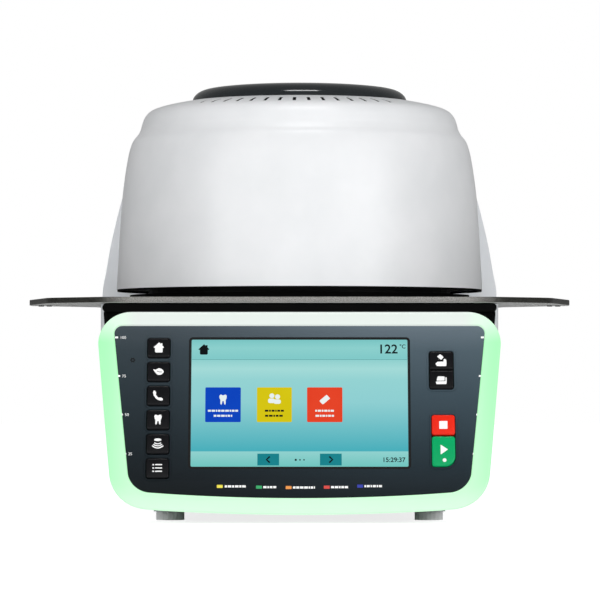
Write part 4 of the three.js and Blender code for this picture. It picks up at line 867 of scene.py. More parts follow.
def makeTray():
    right = tray["right"]
    left = [(-x, y, r) for x, y, r in reversed(right)]
    outlines = [roundedCorners(right + left, tray["cornerSteps"]),
                circlePoints(tray["boreRadius"], count=tray["boreSegments"])]
    piece = plate("tray_plate", outlines, tray["low"], tray["high"], trayMetal, edge=tray["edge"])
    applyTree(piece, holeTree(trayMetal))
    smoothFaces(piece.data)
    ride(piece, "base", "tray_metal", "cooling_tray")
    studs = [
        plate("stud", [circlePoints(tray["studRadius"], side * x, tray["studY"])],
              tray["low"] - tray["studDrop"], tray["low"] + tray["studSink"], sealSilicone,
              edge=tray["studEdge"])
        for side in (-1, 1) for x in tray["studs"]
    ]
    ride(joinPieces("tray_studs", studs), "base", "silicone_seal")
    # the black plate under the head has a folded edge
    section = rectangle(tray["foldInner"], tray["foldOuter"], tray["foldLow"], tray["foldHigh"])
    fold = lathe("plate_edge", section, mattCase, tray["foldSegments"])
    carve(fold, boxBetween("rear of the fold", *tray["foldCut"]))
    smoothFaces(fold.data)
    ride(fold, "base", "black_coated_plate")


makeTray()
print("tray made")


# Panel casing behind the light ring

casing = {
    "front": -215.0, "back": -150.3, "low": 14.0, "high": 166.9, "topHalf": 151.0, "bottomHalf": 136.0,
    "topRadius": 8.0, "bottomRadius": 36.0, "wall": 3.0, "insideCut": (-220.0, -140.0),
    "behindRing": -12.3, "frontCut": 200.0,
    "browLow": 160.4, "browFront": -156.3, "browRadius": 3.0, "browEdge": 0.6,
    "flangeSink": 0.2, "flangeBehind": 0.1, "flangeWall": 1.2,
    "flangeOpening": (-128, 128, 22, 140), "flangeCut": (-40, 0), "cornerSteps": 12,
}


def casingOutline(inset):
    top, bottom = casing["topHalf"] - inset, casing["bottomHalf"] - inset
    topRadius, bottomRadius = casing["topRadius"] - inset, casing["bottomRadius"] - inset
    low, high = casing["low"] + inset, casing["high"] - inset
    return roundedCorners([
        (-bottom, low, bottomRadius), (bottom, low, bottomRadius), (top, high, topRadius),
        (-top, high, topRadius),
    ], casing["cornerSteps"])


def makeCasing():
    front, back, wall = casing["front"], casing["back"], casing["wall"]
    everywhere = [rectangle(-beyond, beyond, -beyond, beyond)]
    piece = prismY("casing_shell", casingOutline(0), front, back, mattCase)
    carve(piece, prismY("casing inside", casingOutline(wall), *casing["insideCut"]),
          plate("in front of the casing", everywhere, casing["behindRing"], casing["frontCut"],
                place=panelPlace))
    section = roundedBox(-casing["topHalf"], casing["topHalf"], casing["browLow"], casing["high"],
                         casing["browRadius"])
    brow = prismY("brow", section, casing["browFront"], back, mattCase, casing["browEdge"])
    combine(piece, brow, "UNION")
    smoothFaces(piece.data)
    ride(piece, "base", "black_plastic", "panel_casing")
    # a flange that closes the casing's corners behind the ring
    sink, behind = casing["flangeSink"], casing["behindRing"] - casing["flangeBehind"]
    flange = prismY("casing_flange", casingOutline(wall - sink), front, back - sink, mattCase)
    carve(flange, plate("before", everywhere, behind, casing["frontCut"], place=panelPlace),
          plate("after", everywhere, -beyond, behind - casing["flangeWall"], place=panelPlace),
          plate("middle", [rectangle(*casing["flangeOpening"])], *casing["flangeCut"],
                place=panelPlace))
    ride(flange, "base", "black_plastic")


makeCasing()
print("casing made")


# Operating panel: its own frame has across, up and out of the panel, in millimetres

panel = {
    "height": 160.98, "topHalf": 155.8, "bottomHalf": 141.0, "sag": 6.0, "topRadius": 25.0,
    "bottomRadius": 30.0, "depth": 12.0, "edge": 1.6, "openingMargin": 1.0,
    "fasciaLow": 13.5, "fasciaHigh": 150.38, "fasciaTopHalf": 142.0, "fasciaBottomHalf": 128.0,
    "fasciaSag": 5.45, "fasciaTopRadius": 6.0, "fasciaBottomRadius": 18.0, "fasciaEdge": 0.25,
    "fasciaFront": -1.0, "fasciaBack": -4.0, "gap": 0.3,
    "windowHalf": 82.7, "windowLow": 37.7, "windowHigh": 139.5, "windowRadius": 2.0, "lineWide": 1.4,
    "rimWidth": 1.9, "rimRise": 0.5, "rimDepth": 0.6, "rimEdge": 0.5,
    "printRise": 0.05, "printSink": 0.3, "cornerSteps": 14, "sagSteps": 40,
}


def leaningOutline(low, high, topHalf, bottomHalf, sag, topRadius, bottomRadius):
    # wider at the top, with a lower edge that sags in the middle
    steps = panel["sagSteps"]
    shares = [2 * k / steps - 1 for k in range(5, steps - 4)]
    bottom = [(share * bottomHalf, low + sag * share ** 2) for share in shares]
    return roundedCorners([
        (-bottomHalf, low + sag, bottomRadius), *bottom, (bottomHalf, low + sag, bottomRadius),
        (topHalf, high, topRadius), (-topHalf, high, topRadius),
    ], panel["cornerSteps"])


def fasciaOutline(inset):
    return leaningOutline(
        panel["fasciaLow"] + inset, panel["fasciaHigh"] - inset, panel["fasciaTopHalf"] - inset,
        panel["fasciaBottomHalf"] - inset, panel["fasciaSag"], panel["fasciaTopRadius"],
        panel["fasciaBottomRadius"] - inset,
    )


def isInside(x, y, outline):
    crossings = 0
    for (x1, y1), (x2, y2) in zip(outline, outline[1:] + outline[:1]):
        if (y1 > y) != (y2 > y) and x < x1 + (y - y1) * (x2 - x1) / (y2 - y1):
            crossings += 1
    return crossings % 2 == 1


def makeRing():
    outside = leaningOutline(0, panel["height"], panel["topHalf"], panel["bottomHalf"], panel["sag"],
                             panel["topRadius"], panel["bottomRadius"])
    piece = plate("ring_diffuser", [outside, fasciaOutline(0)], -panel["depth"], 0, opalDiffuser,
                  panelPlace, panel["edge"], 4)
    # the outer wall runs level to the rear; the opening stays square to the panel
    opening = fasciaOutline(-panel["edge"] - panel["openingMargin"])
    intoPanel = panelPlace.inverted()
    for vertex in piece.data.vertices:
        spot = intoPanel @ vertex.co
        if not isInside(spot.x, spot.y, opening):
            spot.y -= spot.z * tan(panelLean)
            vertex.co = panelPlace @ spot
    smoothFaces(piece.data)
    ride(piece, "base", "light_guide", "light_ring")


# Keys: (across, up, half width, half height, radius at the lower right)
keys = {
    "key_home": (-107, 132.08, 8.6, 7.9, 2), "key_program": (-107, 112.98, 8.6, 7.9, 2),
    "key_phone": (-107, 93.88, 8.6, 7.9, 2), "key_tooth": (-107, 74.78, 8.6, 7.9, 2),
    "key_pulse": (-107, 55.68, 8.6, 7.9, 2), "key_setup": (-107, 36.6, 8.6, 7.9, 2),
    "key_open_head": (107.7, 122.28, 9.2, 7.2, 2), "key_close_head": (107.7, 106.48, 9.2, 7.2, 2),
    "key_stop": (108.7, 70.7, 8.8, 8.0, 2), "key_start": (108.7, 49.8, 8.8, 11.9, 8),
}
keyCap = {
    "back": -6.0, "front": 0.6, "rise": 1.1, "bevel": 1.5, "bevelSteps": 6, "radius": 2.0,
    "pairReach": 0.7, "pairGap": 0.5, "pairRadius": 0.5, "leastRadius": 0.15,
    "iconSink": 0.2, "iconRise": 0.03, "cornerSteps": 6, "smoothAngle": 50,
}


def keyOutline(name, grow):
    across, up, halfWide, halfTall, corner = keys[name]
    low, high = up - halfTall, up + halfTall
    lowRadius = highRadius = keyCap["radius"]
    # the two head keys share one surround and meet at a thin line
    if name == "key_open_head":
        low = low - keyCap["pairReach"] + keyCap["pairGap"] / 2
        lowRadius = keyCap["pairRadius"]
    if name == "key_close_head":
        high = high + keyCap["pairReach"] - keyCap["pairGap"] / 2
        highRadius = keyCap["pairRadius"]
    corner = corner if name == "key_start" else lowRadius
    radii = [max(radius + grow, keyCap["leastRadius"])
             for radius in (lowRadius, corner, highRadius, highRadius)]
    corners = rectangle(across - halfWide - grow, across + halfWide + grow, low - grow, high + grow)
    return roundedCorners([(*spot, radius) for spot, radius in zip(corners, radii)],
                          keyCap["cornerSteps"])


def surroundOutline(names, grow):
    # one outline round a key, or round a pair of keys that stand one above the other
    first, last = keys[names[0]], keys[names[-1]]
    across, halfWide = first[0], first[2] + grow
    low, high = last[1] - last[3] - grow, first[1] + first[3] + grow
    radius = keyCap["radius"] + grow
    radii = (radius, last[4] + grow, radius, radius)
    corners = rectangle(across - halfWide, across + halfWide, low, high)
    return roundedCorners([(*spot, radius) for spot, radius in zip(corners, radii)],
                          keyCap["cornerSteps"])


keyGroups = [[name] for name in list(keys)[:6]]
keyGroups += [["key_open_head", "key_close_head"], ["key_stop", "key_start"]]


def cappedKey(name, material):
    rings = [(0, keyCap["back"])]
    for k in range(keyCap["bevelSteps"] + 1):
        angle = pi / 2 * k / keyCap["bevelSteps"]
        inset = keyCap["bevel"] * (1 - cos(angle))
        rings.append((inset, keyCap["front"] - keyCap["rise"] * (1 - sin(angle))))
    work = bmesh.new()
    loops = []
    for inset, height in rings:
        loops.append([work.verts.new((x, y, height)) for x, y in keyOutline(name, -inset)])
    count = len(loops[0])
    for below, above in zip(loops, loops[1:]):
        for k in range(count):
            work.faces.new((below[k], below[(k + 1) % count], above[(k + 1) % count], above[k]))
    work.faces.new(loops[-1])
    work.faces.new(loops[0][::-1])
    return finishMesh(name + "_cap", meshFrom(name, work), material, panelPlace, keyCap["smoothAngle"])


def ribbon(points, width):
    # an outline round a bent line of even width
    points = [Vector(point) for point in points]
    left, right = [], []
    for i, point in enumerate(points):
        ahead = points[min(i + 1, len(points) - 1)] - points[max(i - 1, 0)]
        side = Vector((-ahead.y, ahead.x)).normalized() * width / 2
        left.append(tuple(point + side))
        right.append(tuple(point - side))
    return left + right[::-1]


def arcRibbon(halfWide, middle, sag, width, steps=12):
    spread = [2 * k / steps - 1 for k in range(steps + 1)]
    return ribbon([(t * halfWide, middle + sag * t ** 2) for t in spread], width)


def closedCurve(points, steps=5):
    ring = points[-2:] + points + points[:2]
    smooth = smoothProfile(ring, steps)
    return smooth[2 * steps:(len(points) + 2) * steps]


def shifted(outline, across, up, scale=1.0):
    return [(across + x * scale, up + y * scale) for x, y in outline]


icons = {
    "house": [[(-4, 0.2), (-3.5, -0.2), (-2.9, -0.2), (-2.9, -3.2), (-2.3, -3.9), (2.3, -3.9),
               (2.9, -3.2), (2.9, -0.2), (3.5, -0.2), (4, 0.2), (2.7, 1.6), (2.7, 3.4), (1.3, 3.4),
               (1.3, 3.0), (0.1, 4.2)]],
    "leaf": [closedCurve([(-4.0, 1.7), (-2.2, 1.4), (0.3, 2.6), (2.6, 1.7), (3.9, -0.3), (2.2, -2.3),
                          (-0.4, -2.7), (-2.2, -1.2)]),
             ribbon([(-1.2, 0.3), (0.6, -0.3), (2.6, -0.3)], 0.5)],
    "handset": [closedCurve([(-3.4, 3.9), (-2.3, 3.5), (-1.5, 2.0), (-1.9, 1.1), (-1.1, -0.5), (0.4, -1.8),
                             (1.4, -1.5), (3.0, -2.1), (3.6, -3.0), (2.9, -3.9), (1.0, -3.9), (-1.4, -2.7),
                             (-3.2, -0.3), (-4.0, 2.4)])],
    "tooth": [closedCurve([(-2.7, 3.0), (-1.6, 3.9), (0, 3.3), (1.6, 3.9), (2.7, 3.0), (2.6, 1.0),
                           (2.0, -0.6), (2.0, -3.1), (1.4, -4.1), (0.8, -3.0), (0.4, -1.3), (-0.4, -1.3),
                           (-0.8, -3.0), (-1.4, -4.1), (-2.0, -3.1), (-2.0, -0.6), (-2.6, 1.0)])],
    "waves": [shifted([(x * 2.8, y * 1.1) for x, y in circlePoints(1, count=28)], 0, 3.1),
              arcRibbon(2.5, -0.1, 0.9, 0.8), arcRibbon(3.3, -1.7, 1.3, 0.8),
              arcRibbon(4.2, -3.4, 1.9, 0.9)],
    "list": [roundedBox(-1.9, 3.6, y - 0.45, y + 0.45, 0.4, 3) for y in (2.6, 0, -2.6)]
            + [circlePoints(0.65, -3.2, y, 14) for y in (2.6, 0, -2.6)],
    "lid open": [
        roundedCorners([(-3.4, -5.0, 0.6), (3.9, -5.0, 0.8), (3.9, -0.2, 1.2), (2.7, 1.0, 0.3),
                        (1.4, -0.3, 0.3), (2.1, -1.3, 0.4), (-2.7, -1.5, 0.6), (-4.5, -3.0, 0.6)], 4),
        roundedCorners([(-0.1, -0.1, 0.4), (1.9, 2.1, 0.5), (-0.8, 4.6, 0.5), (-3.2, 2.6, 0.5)], 4),
    ],
    "lid shut": [
        roundedCorners([(-3.9, -3.6, 0.6), (3.9, -3.6, 0.8), (3.9, 1.6, 1.0), (3.0, 2.6, 0.4),
                        (3.0, -1.2, 0.2), (-4.4, -1.4, 0.5)], 4),
        roundedCorners([(-3.8, -0.8, 0.4), (2.3, -0.8, 0.4), (2.5, 2.5, 0.8), (-2.8, 2.7, 0.8)], 4),
    ],
    "square": [roundedBox(-3.1, 3.1, -3.3, 2.9, 0.5, 4)],
    "triangle": [roundedCorners([(-2.3, -2.7, 0.3), (3.3, 1.4, 0.3), (-2.3, 5.2, 0.3)], 3),
                 circlePoints(1.45, 0.6, -7.0, 24)],
}
keyIcons = {
    "key_home": "house", "key_program": "leaf", "key_phone": "handset", "key_tooth": "tooth",
    "key_pulse": "waves", "key_setup": "list", "key_open_head": "lid open",
    "key_close_head": "lid shut", "key_stop": "square", "key_start": "triangle",
}


def makeKeys():
    caps = {"key_stop": (redKey, "red_key"), "key_start": (greenKey, "green_key")}
    low, high = keyCap["front"] - keyCap["iconSink"], keyCap["front"] + keyCap["iconRise"]
    for name, (across, up, *_) in keys.items():
        material, slotName = caps.get(name, (blackKey, "black_key"))
        cap = cappedKey(name, material)
        icon = [shifted(outline, across, up) for outline in icons[keyIcons[name]]]
        ink = plate(name + " icon", icon, low, high, whiteInk, panelPlace)
        joinPieces(name + "_cap", [cap, ink])
        ride(cap, name + "_body", slotName, name)


shortBars = {"shortest": 1.0, "spread": 1.8, "space": 0.55, "least": 0.5}


def barRow(left, right, up, height, seed):
    # a row of short bars whose uneven lengths follow from the seed
    bars, x, share = [], left, seed
    while x < right - shortBars["least"]:
        share = (share * 0.618 + 0.381 * seed + 0.37) % 1
        wide = min(shortBars["shortest"] + shortBars["spread"] * share, right - x)
        bars.append(rectangle(x, x + wide, up - height / 2, up + height / 2))
        x += wide + shortBars["space"]
    return bars


def writing(name, text, height, across, up, material, low, high, bold=0.0):
    drawing = bpy.data.curves.new(name, "FONT")
    drawing.body = text
    drawing.size = height * 1.37  # the font's digits are 1 / 1.37 of its size
    drawing.extrude = (high - low) / 2
    drawing.offset = bold
    mesh = drawnMesh(name, drawing, (across, up - height / 2, (high + low) / 2))
    return finishMesh(name, mesh, material, panelPlace)


marks = {
    "tickWide": 2.4, "tickTall": 1.5, "numeralHeight": 2.3, "numeralShift": 2.6,
    # up, across and number
    "tickPlaces": [(140.8, 139.4, "100"), (109.9, 137.4, "75"), (79.2, 134.9, "50"), (48.2, 131.9, "25")],
    # the row of status lamps: across, up, colour, then where its bars start and end
    "status": [
        (-60.0, 22.6, "yellow", -56.2, -39.6), (-30.5, 22.0, "green", -27.3, -17.5),
        (-8.2, 21.7, "orange", -4.9, 11.5), (20.5, 22.0, "red", 23.7, 36.7),
        (45.6, 22.8, "blue", 48.8, 62.1),
    ],
    "chipWide": 4.4, "chipTall": 2.4, "chipRadius": 0.3, "barTall": 1.7, "barSpan": 61,
    "starAcross": -126.8, "starUp": 122.6, "starReach": 2.3, "starInner": 0.62, "starHeart": 0.32,
}
chipTones = {
    "yellow": ("#E8D93A", "#F4E75A"), "green": ("#1E9A57", "#2AA865"), "orange": ("#E2862E", "#EE9A4A"),
    "red": ("#C8322B", "#D8423A"), "blue": ("#1B2A9A", "#2436B0"),
}
chipInks = {hue: mouldedPlastic(hue + " printing ink", low, high, 0.45, 1.2, 0.002)
            for hue, (low, high) in chipTones.items()}


def makeFascia():
    front, back = panel["fasciaFront"], panel["fasciaBack"]
    half, foot, head = panel["windowHalf"], panel["windowLow"], panel["windowHigh"]
    window = roundedBox(-half, half, foot, head, panel["windowRadius"])
    holes = [surroundOutline(group, panel["gap"]) for group in keyGroups]
    parts = [plate("fascia_plate", [fasciaOutline(panel["gap"]), window, *holes], back, front, fasciaFoil,
                   panelPlace, panel["fasciaEdge"], 2)]
    for group, hole in zip(keyGroups, holes):
        rim = [surroundOutline(group, panel["rimWidth"]), hole]
        parts.append(plate("key rim", rim, front - panel["rimDepth"], front + panel["rimRise"],
                           fasciaFoil, panelPlace, panel["rimEdge"]))
    low, high = front - panel["printSink"], front + panel["printRise"]

    def printed(name, outlines, ink):
        parts.append(plate(name, outlines, low, high, ink, panelPlace))

    for up, across, number in marks["tickPlaces"]:
        for side in (-1, 1):
            spot = centred(side * across, up, marks["tickWide"], marks["tickTall"])
            printed("tick", [rectangle(*spot)], whiteInk)
        parts.append(writing("numeral", number, marks["numeralHeight"], marks["numeralShift"] - across,
                             up, whiteInk, low, high))
    for across, up, hue, start, end in marks["status"]:
        spot = centred(across, up, marks["chipWide"], marks["chipTall"])
        printed("status chip", [roundedBox(*spot, marks["chipRadius"], 3)], chipInks[hue])
        bars = barRow(start, end, up, marks["barTall"], abs(across) / marks["barSpan"])
        printed("status bars", bars, whiteInk)
    star, middle, reach = [], (marks["starAcross"], marks["starUp"]), marks["starReach"]
    for k in range(12):
        spoke = reach * (1 if k % 2 == 0 else marks["starInner"])
        star.append((middle[0] + spoke * cos(pi * k / 6), middle[1] + spoke * sin(pi * k / 6)))
    printed("star mark", [star, circlePoints(reach * marks["starHeart"], *middle, 16)], darkInk)
    # a black printed line round the window
    wide = panel["lineWide"]
    line = roundedBox(-half - wide, half + wide, foot - wide, head + wide, panel["windowRadius"] + 1)
    printed("window line", [line, window], darkInk)
    ride(joinPieces("fascia_plate", parts), "base", "slate_fascia", "operating_panel")


# Display: a lit picture drawn as thin layers, with a dull anti-glare skin

display = {
    "half": 82.1, "low": 38.2, "high": 139.0, "front": -1.25, "glow": 0.93, "sink": 0.1, "layer": 0.05,
    "body": (-82.9, 82.9, 37.5, 139.7, 2), "bodyBack": -6.7, "bodySink": 0.1, "pictureSink": 0.2,
    "header": 123.1, "headerTall": 0.3, "headerMargin": 0.3, "house": (-72.8, 131.1, 1.04),
    "tiles": [(-71.4, -44.5), (-32.3, -5.8), (5.7, 32.5)], "tileLow": 73.3, "tileHigh": 100.9,
    "tileRadius": 0.8, "iconUp": 91.2,
    # head: radius, across, up; body: left, right, low, high, corner radius; number of layers
    "people": [((1.9, -1.9, 94.2), (-4.8, 0.4, 88.4, 92.0, 1.5), 2),
               ((1.9, 2.4, 93.4), (-0.6, 4.9, 87.8, 91.3, 1.5), 3)],
    "stick": [(-3.9, -2.0, 0.9), (3.6, -2.0, 0.6), (3.6, 2.0, 0.6), (-3.9, 2.0, 0.9)],
    "stickTurn": 0.72, "stickAcross": 0.1,
    "barTall": 1.5, "barSeeds": (0.31, 0.57, 0.83), "upperUp": 82.3, "upperHalves": (11.4, 7.2, 7.2),
    "lowerUp": 78.3, "lowerHalf": 7.0, "lowerSeed": 0.7,
    "arrowButton": (15.4, 31.8, 39.1, 48.4), "arrow": [(22.4, 46.1), (24.9, 43.7), (22.4, 41.3)],
    "arrowWide": 1.3, "dots": [(-2.85, 0.85), (0.36, 0.6), (3.4, 0.6)], "dotsUp": 43.5,
    # text, height, across, up and how much bolder
    "temperature": ("122", 7.4, 59.6, 131.8, 0.16), "degree": ("°C", 3.2, 76.0, 133.7, 0.06),
    "clock": ("15:29:37", 3.7, 62.4, 43.7, 0.09),
    "pixelsPerMetre": 2200.0, "pixelDepthMm": 0.002,
}


def litBackground():
    # liquid-crystal picture: pale under the header, deeper blue-green towards the foot
    material, tree, shader, place = startMaterial("lit display", "#020303", 0.3, specular=0.05)
    height = addNode(tree, "ShaderNodeSeparateXYZ", {"Vector": place}).outputs["Z"]
    low, high = [panelFootZ + v * mm * cos(panelLean) for v in (display["low"], display["high"])]
    share = addNode(tree, "ShaderNodeMapRange", {"Value": height, "From Min": low, "From Max": high})
    tone = addNode(tree, "ShaderNodeValToRGB", {"Fac": share}, [
        (0.0, "#75CBC5"), (0.113, "#95D8D5"), (0.116, "#48B3C0"), (0.30, "#70C4CC"), (0.50, "#92D5D8"),
        (0.68, "#98D9D9"), (0.765, "#A8E1DE"), (0.838, "#93D6D4"), (0.845, "#84CFCE"), (0.93, "#90D6D3"),
        (1.0, "#7CCAC9")])
    tree.links.new(tone.outputs["Color"], shader.inputs["Emission Color"])
    shader.inputs["Emission Strength"].default_value = display["glow"]
    # pixels of about 0.45 mm, coarser than real ones so that they show
    pixels = addNode(tree, "ShaderNodeTexNoise",
                     {"Vector": place, "Scale": display["pixelsPerMetre"], "Detail": 1.0})
    bump = addNode(tree, "ShaderNodeBump", {"Height": pixels, "Distance": display["pixelDepthMm"] * mm})
    tree.links.new(bump.outputs["Normal"], shader.inputs["Normal"])
    return material


def litPixels(name, hexLow, hexHigh):
    # lit liquid crystal of one colour
    material, tree, shader, place = startMaterial(name, "#020303", 0.3, specular=0.05)
    tone = mottle(tree, place, 14, hexLow, hexHigh, 0.4)[0]
    tree.links.new(tone, shader.inputs["Emission Color"])
    shader.inputs["Emission Strength"].default_value = 0.95
    return material


def makeDisplay():
    half, low, high, front = display["half"], display["low"], display["high"], display["front"]
    glass = litBackground()
    dark = litPixels("dark display pixels", "#070B0D", "#0E1518")
    white = litPixels("white display pixels", "#E6F3F2", "#F6FAFA")
    hues = [litPixels("blue display pixels", "#0440BC", "#0648C4"),
            litPixels("yellow display pixels", "#D6C505", "#DDCC10"),
            litPixels("red display pixels", "#E63E20", "#EC4728")]
    teal = litPixels("teal display pixels", "#0F7F89", "#1B8892")
    headerTone = litPixels("header line", "#3F9092", "#4A999B")
    # the dark body behind and its frame line
    parts = [plate("display_panel", [roundedBox(*display["body"])], display["bodyBack"],
                   front - display["bodySink"], casePlastic, panelPlace),
             plate("picture", [roundedBox(-half, half, low, high, 1.0)], front - display["pictureSink"],
                   front, glass, panelPlace)]
    back, layer = front - display["sink"], display["layer"]

    def addLayer(material, depth, *outlines):
        parts.append(plate("layer", outlines, back, front + layer * depth, material, panelPlace))

    def addText(key):
        text, height, across, up, bold = display[key]
        parts.append(writing(key, text, height, across, up, dark, back, front + layer, bold))

    header = centred(0, display["header"], 2 * (half - display["headerMargin"]), display["headerTall"])
    addLayer(headerTone, 1, rectangle(*header))
    addLayer(dark, 1, shifted(icons["house"][0], *display["house"]))
    addText("temperature")
    addText("degree")
    for (left, right), hue in zip(display["tiles"], hues):
        addLayer(hue, 1, roundedBox(left, right, display["tileLow"], display["tileHigh"],
                                    display["tileRadius"], 4))
    middles = [(left + right) / 2 for left, right in display["tiles"]]
    first, second, third = middles
    # a tooth, two people and a memory stick, over rows of short bars
    addLayer(white, 2, shifted(icons["tooth"][0], first, display["iconUp"]))
    for (radius, across, up), (left, right, foot, head, corner), depth in display["people"]:
        addLayer(white, depth, circlePoints(radius, second + across, up, 20))
        addLayer(white, depth, roundedBox(second + left, second + right, foot, head, corner))
    turn = display["stickTurn"]
    stick = [(x * cos(turn) - y * sin(turn), x * sin(turn) + y * cos(turn))
             for x, y in roundedCorners(display["stick"], 4)]
    addLayer(white, 2, shifted(stick, third + display["stickAcross"], display["iconUp"]))
    rows = zip(middles, (white, dark, white), display["upperHalves"], display["barSeeds"])
    for middle, ink, half, seed in rows:
        for up, reach, start in ((display["upperUp"], half, seed),
                                 (display["lowerUp"], display["lowerHalf"], seed * display["lowerSeed"])):
            addLayer(ink, 2, *barRow(middle - reach, middle + reach, up, display["barTall"], start))
    inner, outer, foot, head = display["arrowButton"]
    for side in (-1, 1):
        addLayer(teal, 1, rectangle(*sorted((side * inner, side * outer)), foot, head))
        arrow = [(side * across, up) for across, up in display["arrow"]]
        addLayer(dark, 2, ribbon(arrow, display["arrowWide"]))
    for across, reach in display["dots"]:
        addLayer(dark, 1, circlePoints(reach, across, display["dotsUp"], 16))
    addText("clock")
    ride(joinPieces("display_panel", parts), "base", "display_glass", "display_screen")


makeRing()
makeFascia()
makeKeys()
makeDisplay()
print("panel made")


# Rear panel screws

rear = {
    "face": 211.7, "screwX": 103, "screwLow": 31, "screwHigh": 131, "screwRadius": 3.0,
    "screwHeight": 1.3, "fanX": -62.05, "fanZ": 83.92, "fanPitch": 26.5, "slotLength": 3.6,
    "slotWidth": 0.7, "slotDepth": 0.6,
}


def screwTree(material):
    tree, given = newTree(
        "cross-head screws facing the rear", radius=rear["screwRadius"] * mm,
        height=rear["screwHeight"] * mm, slotLength=rear["slotLength"] * mm,
        slotWidth=rear["slotWidth"] * mm, slotHeight=2 * rear["slotDepth"] * mm,
        slotMiddle=rear["screwHeight"] / 2 * mm,
    )
    head = addNode(tree, "GeometryNodeMeshCylinder",
                   {"Vertices": 32, "Radius": given["radius"], "Depth": given["height"]})
    place = addNode(tree, "ShaderNodeCombineXYZ", {"Z": given["slotMiddle"]})
    size = addNode(tree, "ShaderNodeCombineXYZ", {
        "X": given["slotLength"], "Y": given["slotWidth"], "Z": given["slotHeight"]})
    bar = addNode(tree, "GeometryNodeMeshCube", {"Size": size})
    along = addNode(tree, "GeometryNodeTransform", {"Geometry": bar, "Translation": place})
    across = addNode(tree, "GeometryNodeTransform", {"Geometry": along, "Rotation": (0, 0, pi / 2)})
    for slot in (along, across):
        head = addNode(tree, "GeometryNodeMeshBoolean", {"Mesh 1": head, "Mesh 2": slot},
                       operation="DIFFERENCE", solver="EXACT")
    turned = addNode(tree, "GeometryNodeTransform", {"Geometry": head, "Rotation": (-pi / 2, 0, 0)})
    screws = addNode(tree, "GeometryNodeInstanceOnPoints",
                     {"Points": given["Geometry"], "Instance": turned})
    return endTree(tree, screws, material)


def makeScrews():
    y, x, pitch = rear["face"] + rear["screwHeight"] / 2, rear["screwX"], rear["fanPitch"]
    places = [(across, y, z) for across in (-x, 0, x) for z in (rear["screwLow"], rear["screwHigh"])]
    places += [(rear["fanX"] + across, y, rear["fanZ"] + up)
               for across in (-pitch, pitch) for up in (-pitch, pitch)]
    mesh = bpy.data.meshes.new("rear_screws")
    mesh.from_pydata([Vector(place) * mm for place in places], [], [])
    piece = addObject("rear_screws", mesh)
    applyTree(piece, screwTree(screwSteel))
    ride(piece, "base", "steel")


makeScrews()
print("screws made")


# Bought-in and inner parts kept from the frame, by finish

finishes = [
    (blackCoating, ["head_base_plate", "tray_seal_plate"]),
    (sealSilicone, ["head_seal"]),
    (ceramicFibre, ["firing_base", "insulation_ring", "insulation_lid"]),
    (siliconCarbide, ["firing_plate"]),
    (quartzGlass, ["quartz_muffle"]),
    (heatedWire, ["heating_coil"]),
    (groundSteel, ["thermocouple", "gear_quadrant", "motor_pinion"]),
    (zincSheet, ["insulation_can", "head_carrier", "hinge_bracket_left", "hinge_bracket_right",
                 "rear_panel", "bottom_plate", "network_port", "usb_port"]),
    (brushedAluminium, ["gear_motor", "power_supply", "vacuum_fitting"]),
    (footRubber, ["foot_front_left", "foot_front_right", "foot_rear_left", "foot_rear_right"]),
    (boardLacquer, ["control_board"]),
    (casePlastic, ["fan_frame", "fan_rotor", "mains_inlet", "switch_frame", "power_switch",
                   "fuse_holder", "pump_socket"]),
]
for finish, names in finishes:
    for name in names:
        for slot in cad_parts[name].material_slots:
            slot.material = finish
print("kept parts finished")


# Camera, lamps and floor

stage = {
    "cameraY": -3.19, "cameraZ": 0.1106, "lensMm": 237.8, "pitchUp": 1.11, "shiftX": 0.0008,
    "sensorMm": 36, "clipEnd": 50, "ambient": 0.27, "floorGlow": 0.8, "floorHalf": 6,
    "aim": (0, 0, 0.2),
}
# place, width, height and power of each softbox
lamps = {
    "front softbox": ((0.1, -2.9, 1.0), 3.6, 1.1, 22.0),
    "top softbox": ((0.06, -0.85, 1.95), 0.8, 0.28, 10.5),
    "left softbox": ((-1.9, -1.9, 0.65), 1.0, 1.2, 14.5),
    "right softbox": ((1.9, -1.9, 0.65), 1.0, 1.2, 19.0),
}


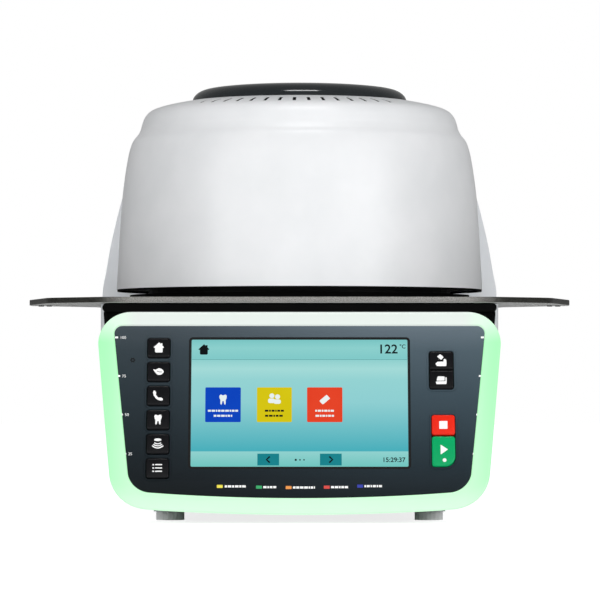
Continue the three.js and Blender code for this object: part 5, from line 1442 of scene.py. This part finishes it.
def makeCamera():
    lens = bpy.data.cameras.new("camera")
    lens.lens = stage["lensMm"]
    lens.sensor_width = stage["sensorMm"]
    lens.clip_end = stage["clipEnd"]
    lens.shift_x = stage["shiftX"]
    camera = addObject("camera", lens)
    camera.location = (0, stage["cameraY"], stage["cameraZ"])
    camera.rotation_euler = (pi / 2 + radians(stage["pitchUp"]), 0, 0)
    bpy.context.scene.camera = camera


def makeLamps():
    for name, (place, wide, tall, power) in lamps.items():
        light = bpy.data.lights.new(name, "AREA")
        light.shape = "RECTANGLE"
        light.size, light.size_y = wide, tall
        light.energy = power
        lamp = addObject(name, light)
        lamp.location = place
        facing = Vector(stage["aim"]) - Vector(place)
        lamp.rotation_euler = facing.to_track_quat("-Z", "Y").to_euler()


def makeWorld():
    # white to the camera and through glass, dimmer as a light on the part
    world = bpy.data.worlds.new("white studio")
    world.use_nodes = True
    bpy.context.scene.world = world
    tree = world.node_tree
    tree.nodes.clear()
    rays = addNode(tree, "ShaderNodeLightPath").outputs
    seen = addNode(tree, "ShaderNodeMath", {0: rays["Is Camera Ray"], 1: rays["Is Transmission Ray"]},
                   operation="MAXIMUM")
    strength = addNode(tree, "ShaderNodeMapRange",
                       {"Value": seen, "To Min": stage["ambient"], "To Max": 1.0})
    light = addNode(tree, "ShaderNodeBackground", {"Color": colour("#FFFFFF"), "Strength": strength})
    addNode(tree, "ShaderNodeOutputWorld", {"Surface": light})


def makeFloor():
    # white table: partly lit by itself, so that it stays white and the soft shadow still shows
    half = stage["floorHalf"]
    mesh = bpy.data.meshes.new("floor")
    mesh.from_pydata([(x, y, 0) for x, y in rectangle(-half, half, -half, half)], [], [(0, 1, 2, 3)])
    floor = addObject("floor", mesh)
    material, tree, shader, place = startMaterial("white table", "#FFFFFF", 0.9)
    seen = addNode(tree, "ShaderNodeLightPath").outputs["Is Camera Ray"]
    glow = addNode(tree, "ShaderNodeMath", {0: seen, 1: stage["floorGlow"]}, operation="MULTIPLY")
    shader.inputs["Emission Color"].default_value = colour("#FFFFFF")
    tree.links.new(glow.outputs[0], shader.inputs["Emission Strength"])
    mesh.materials.append(material)


makeCamera()
makeWorld()
makeFloor()
makeLamps()
bpy.context.scene.view_settings.view_transform = "Standard"
print("stage made")
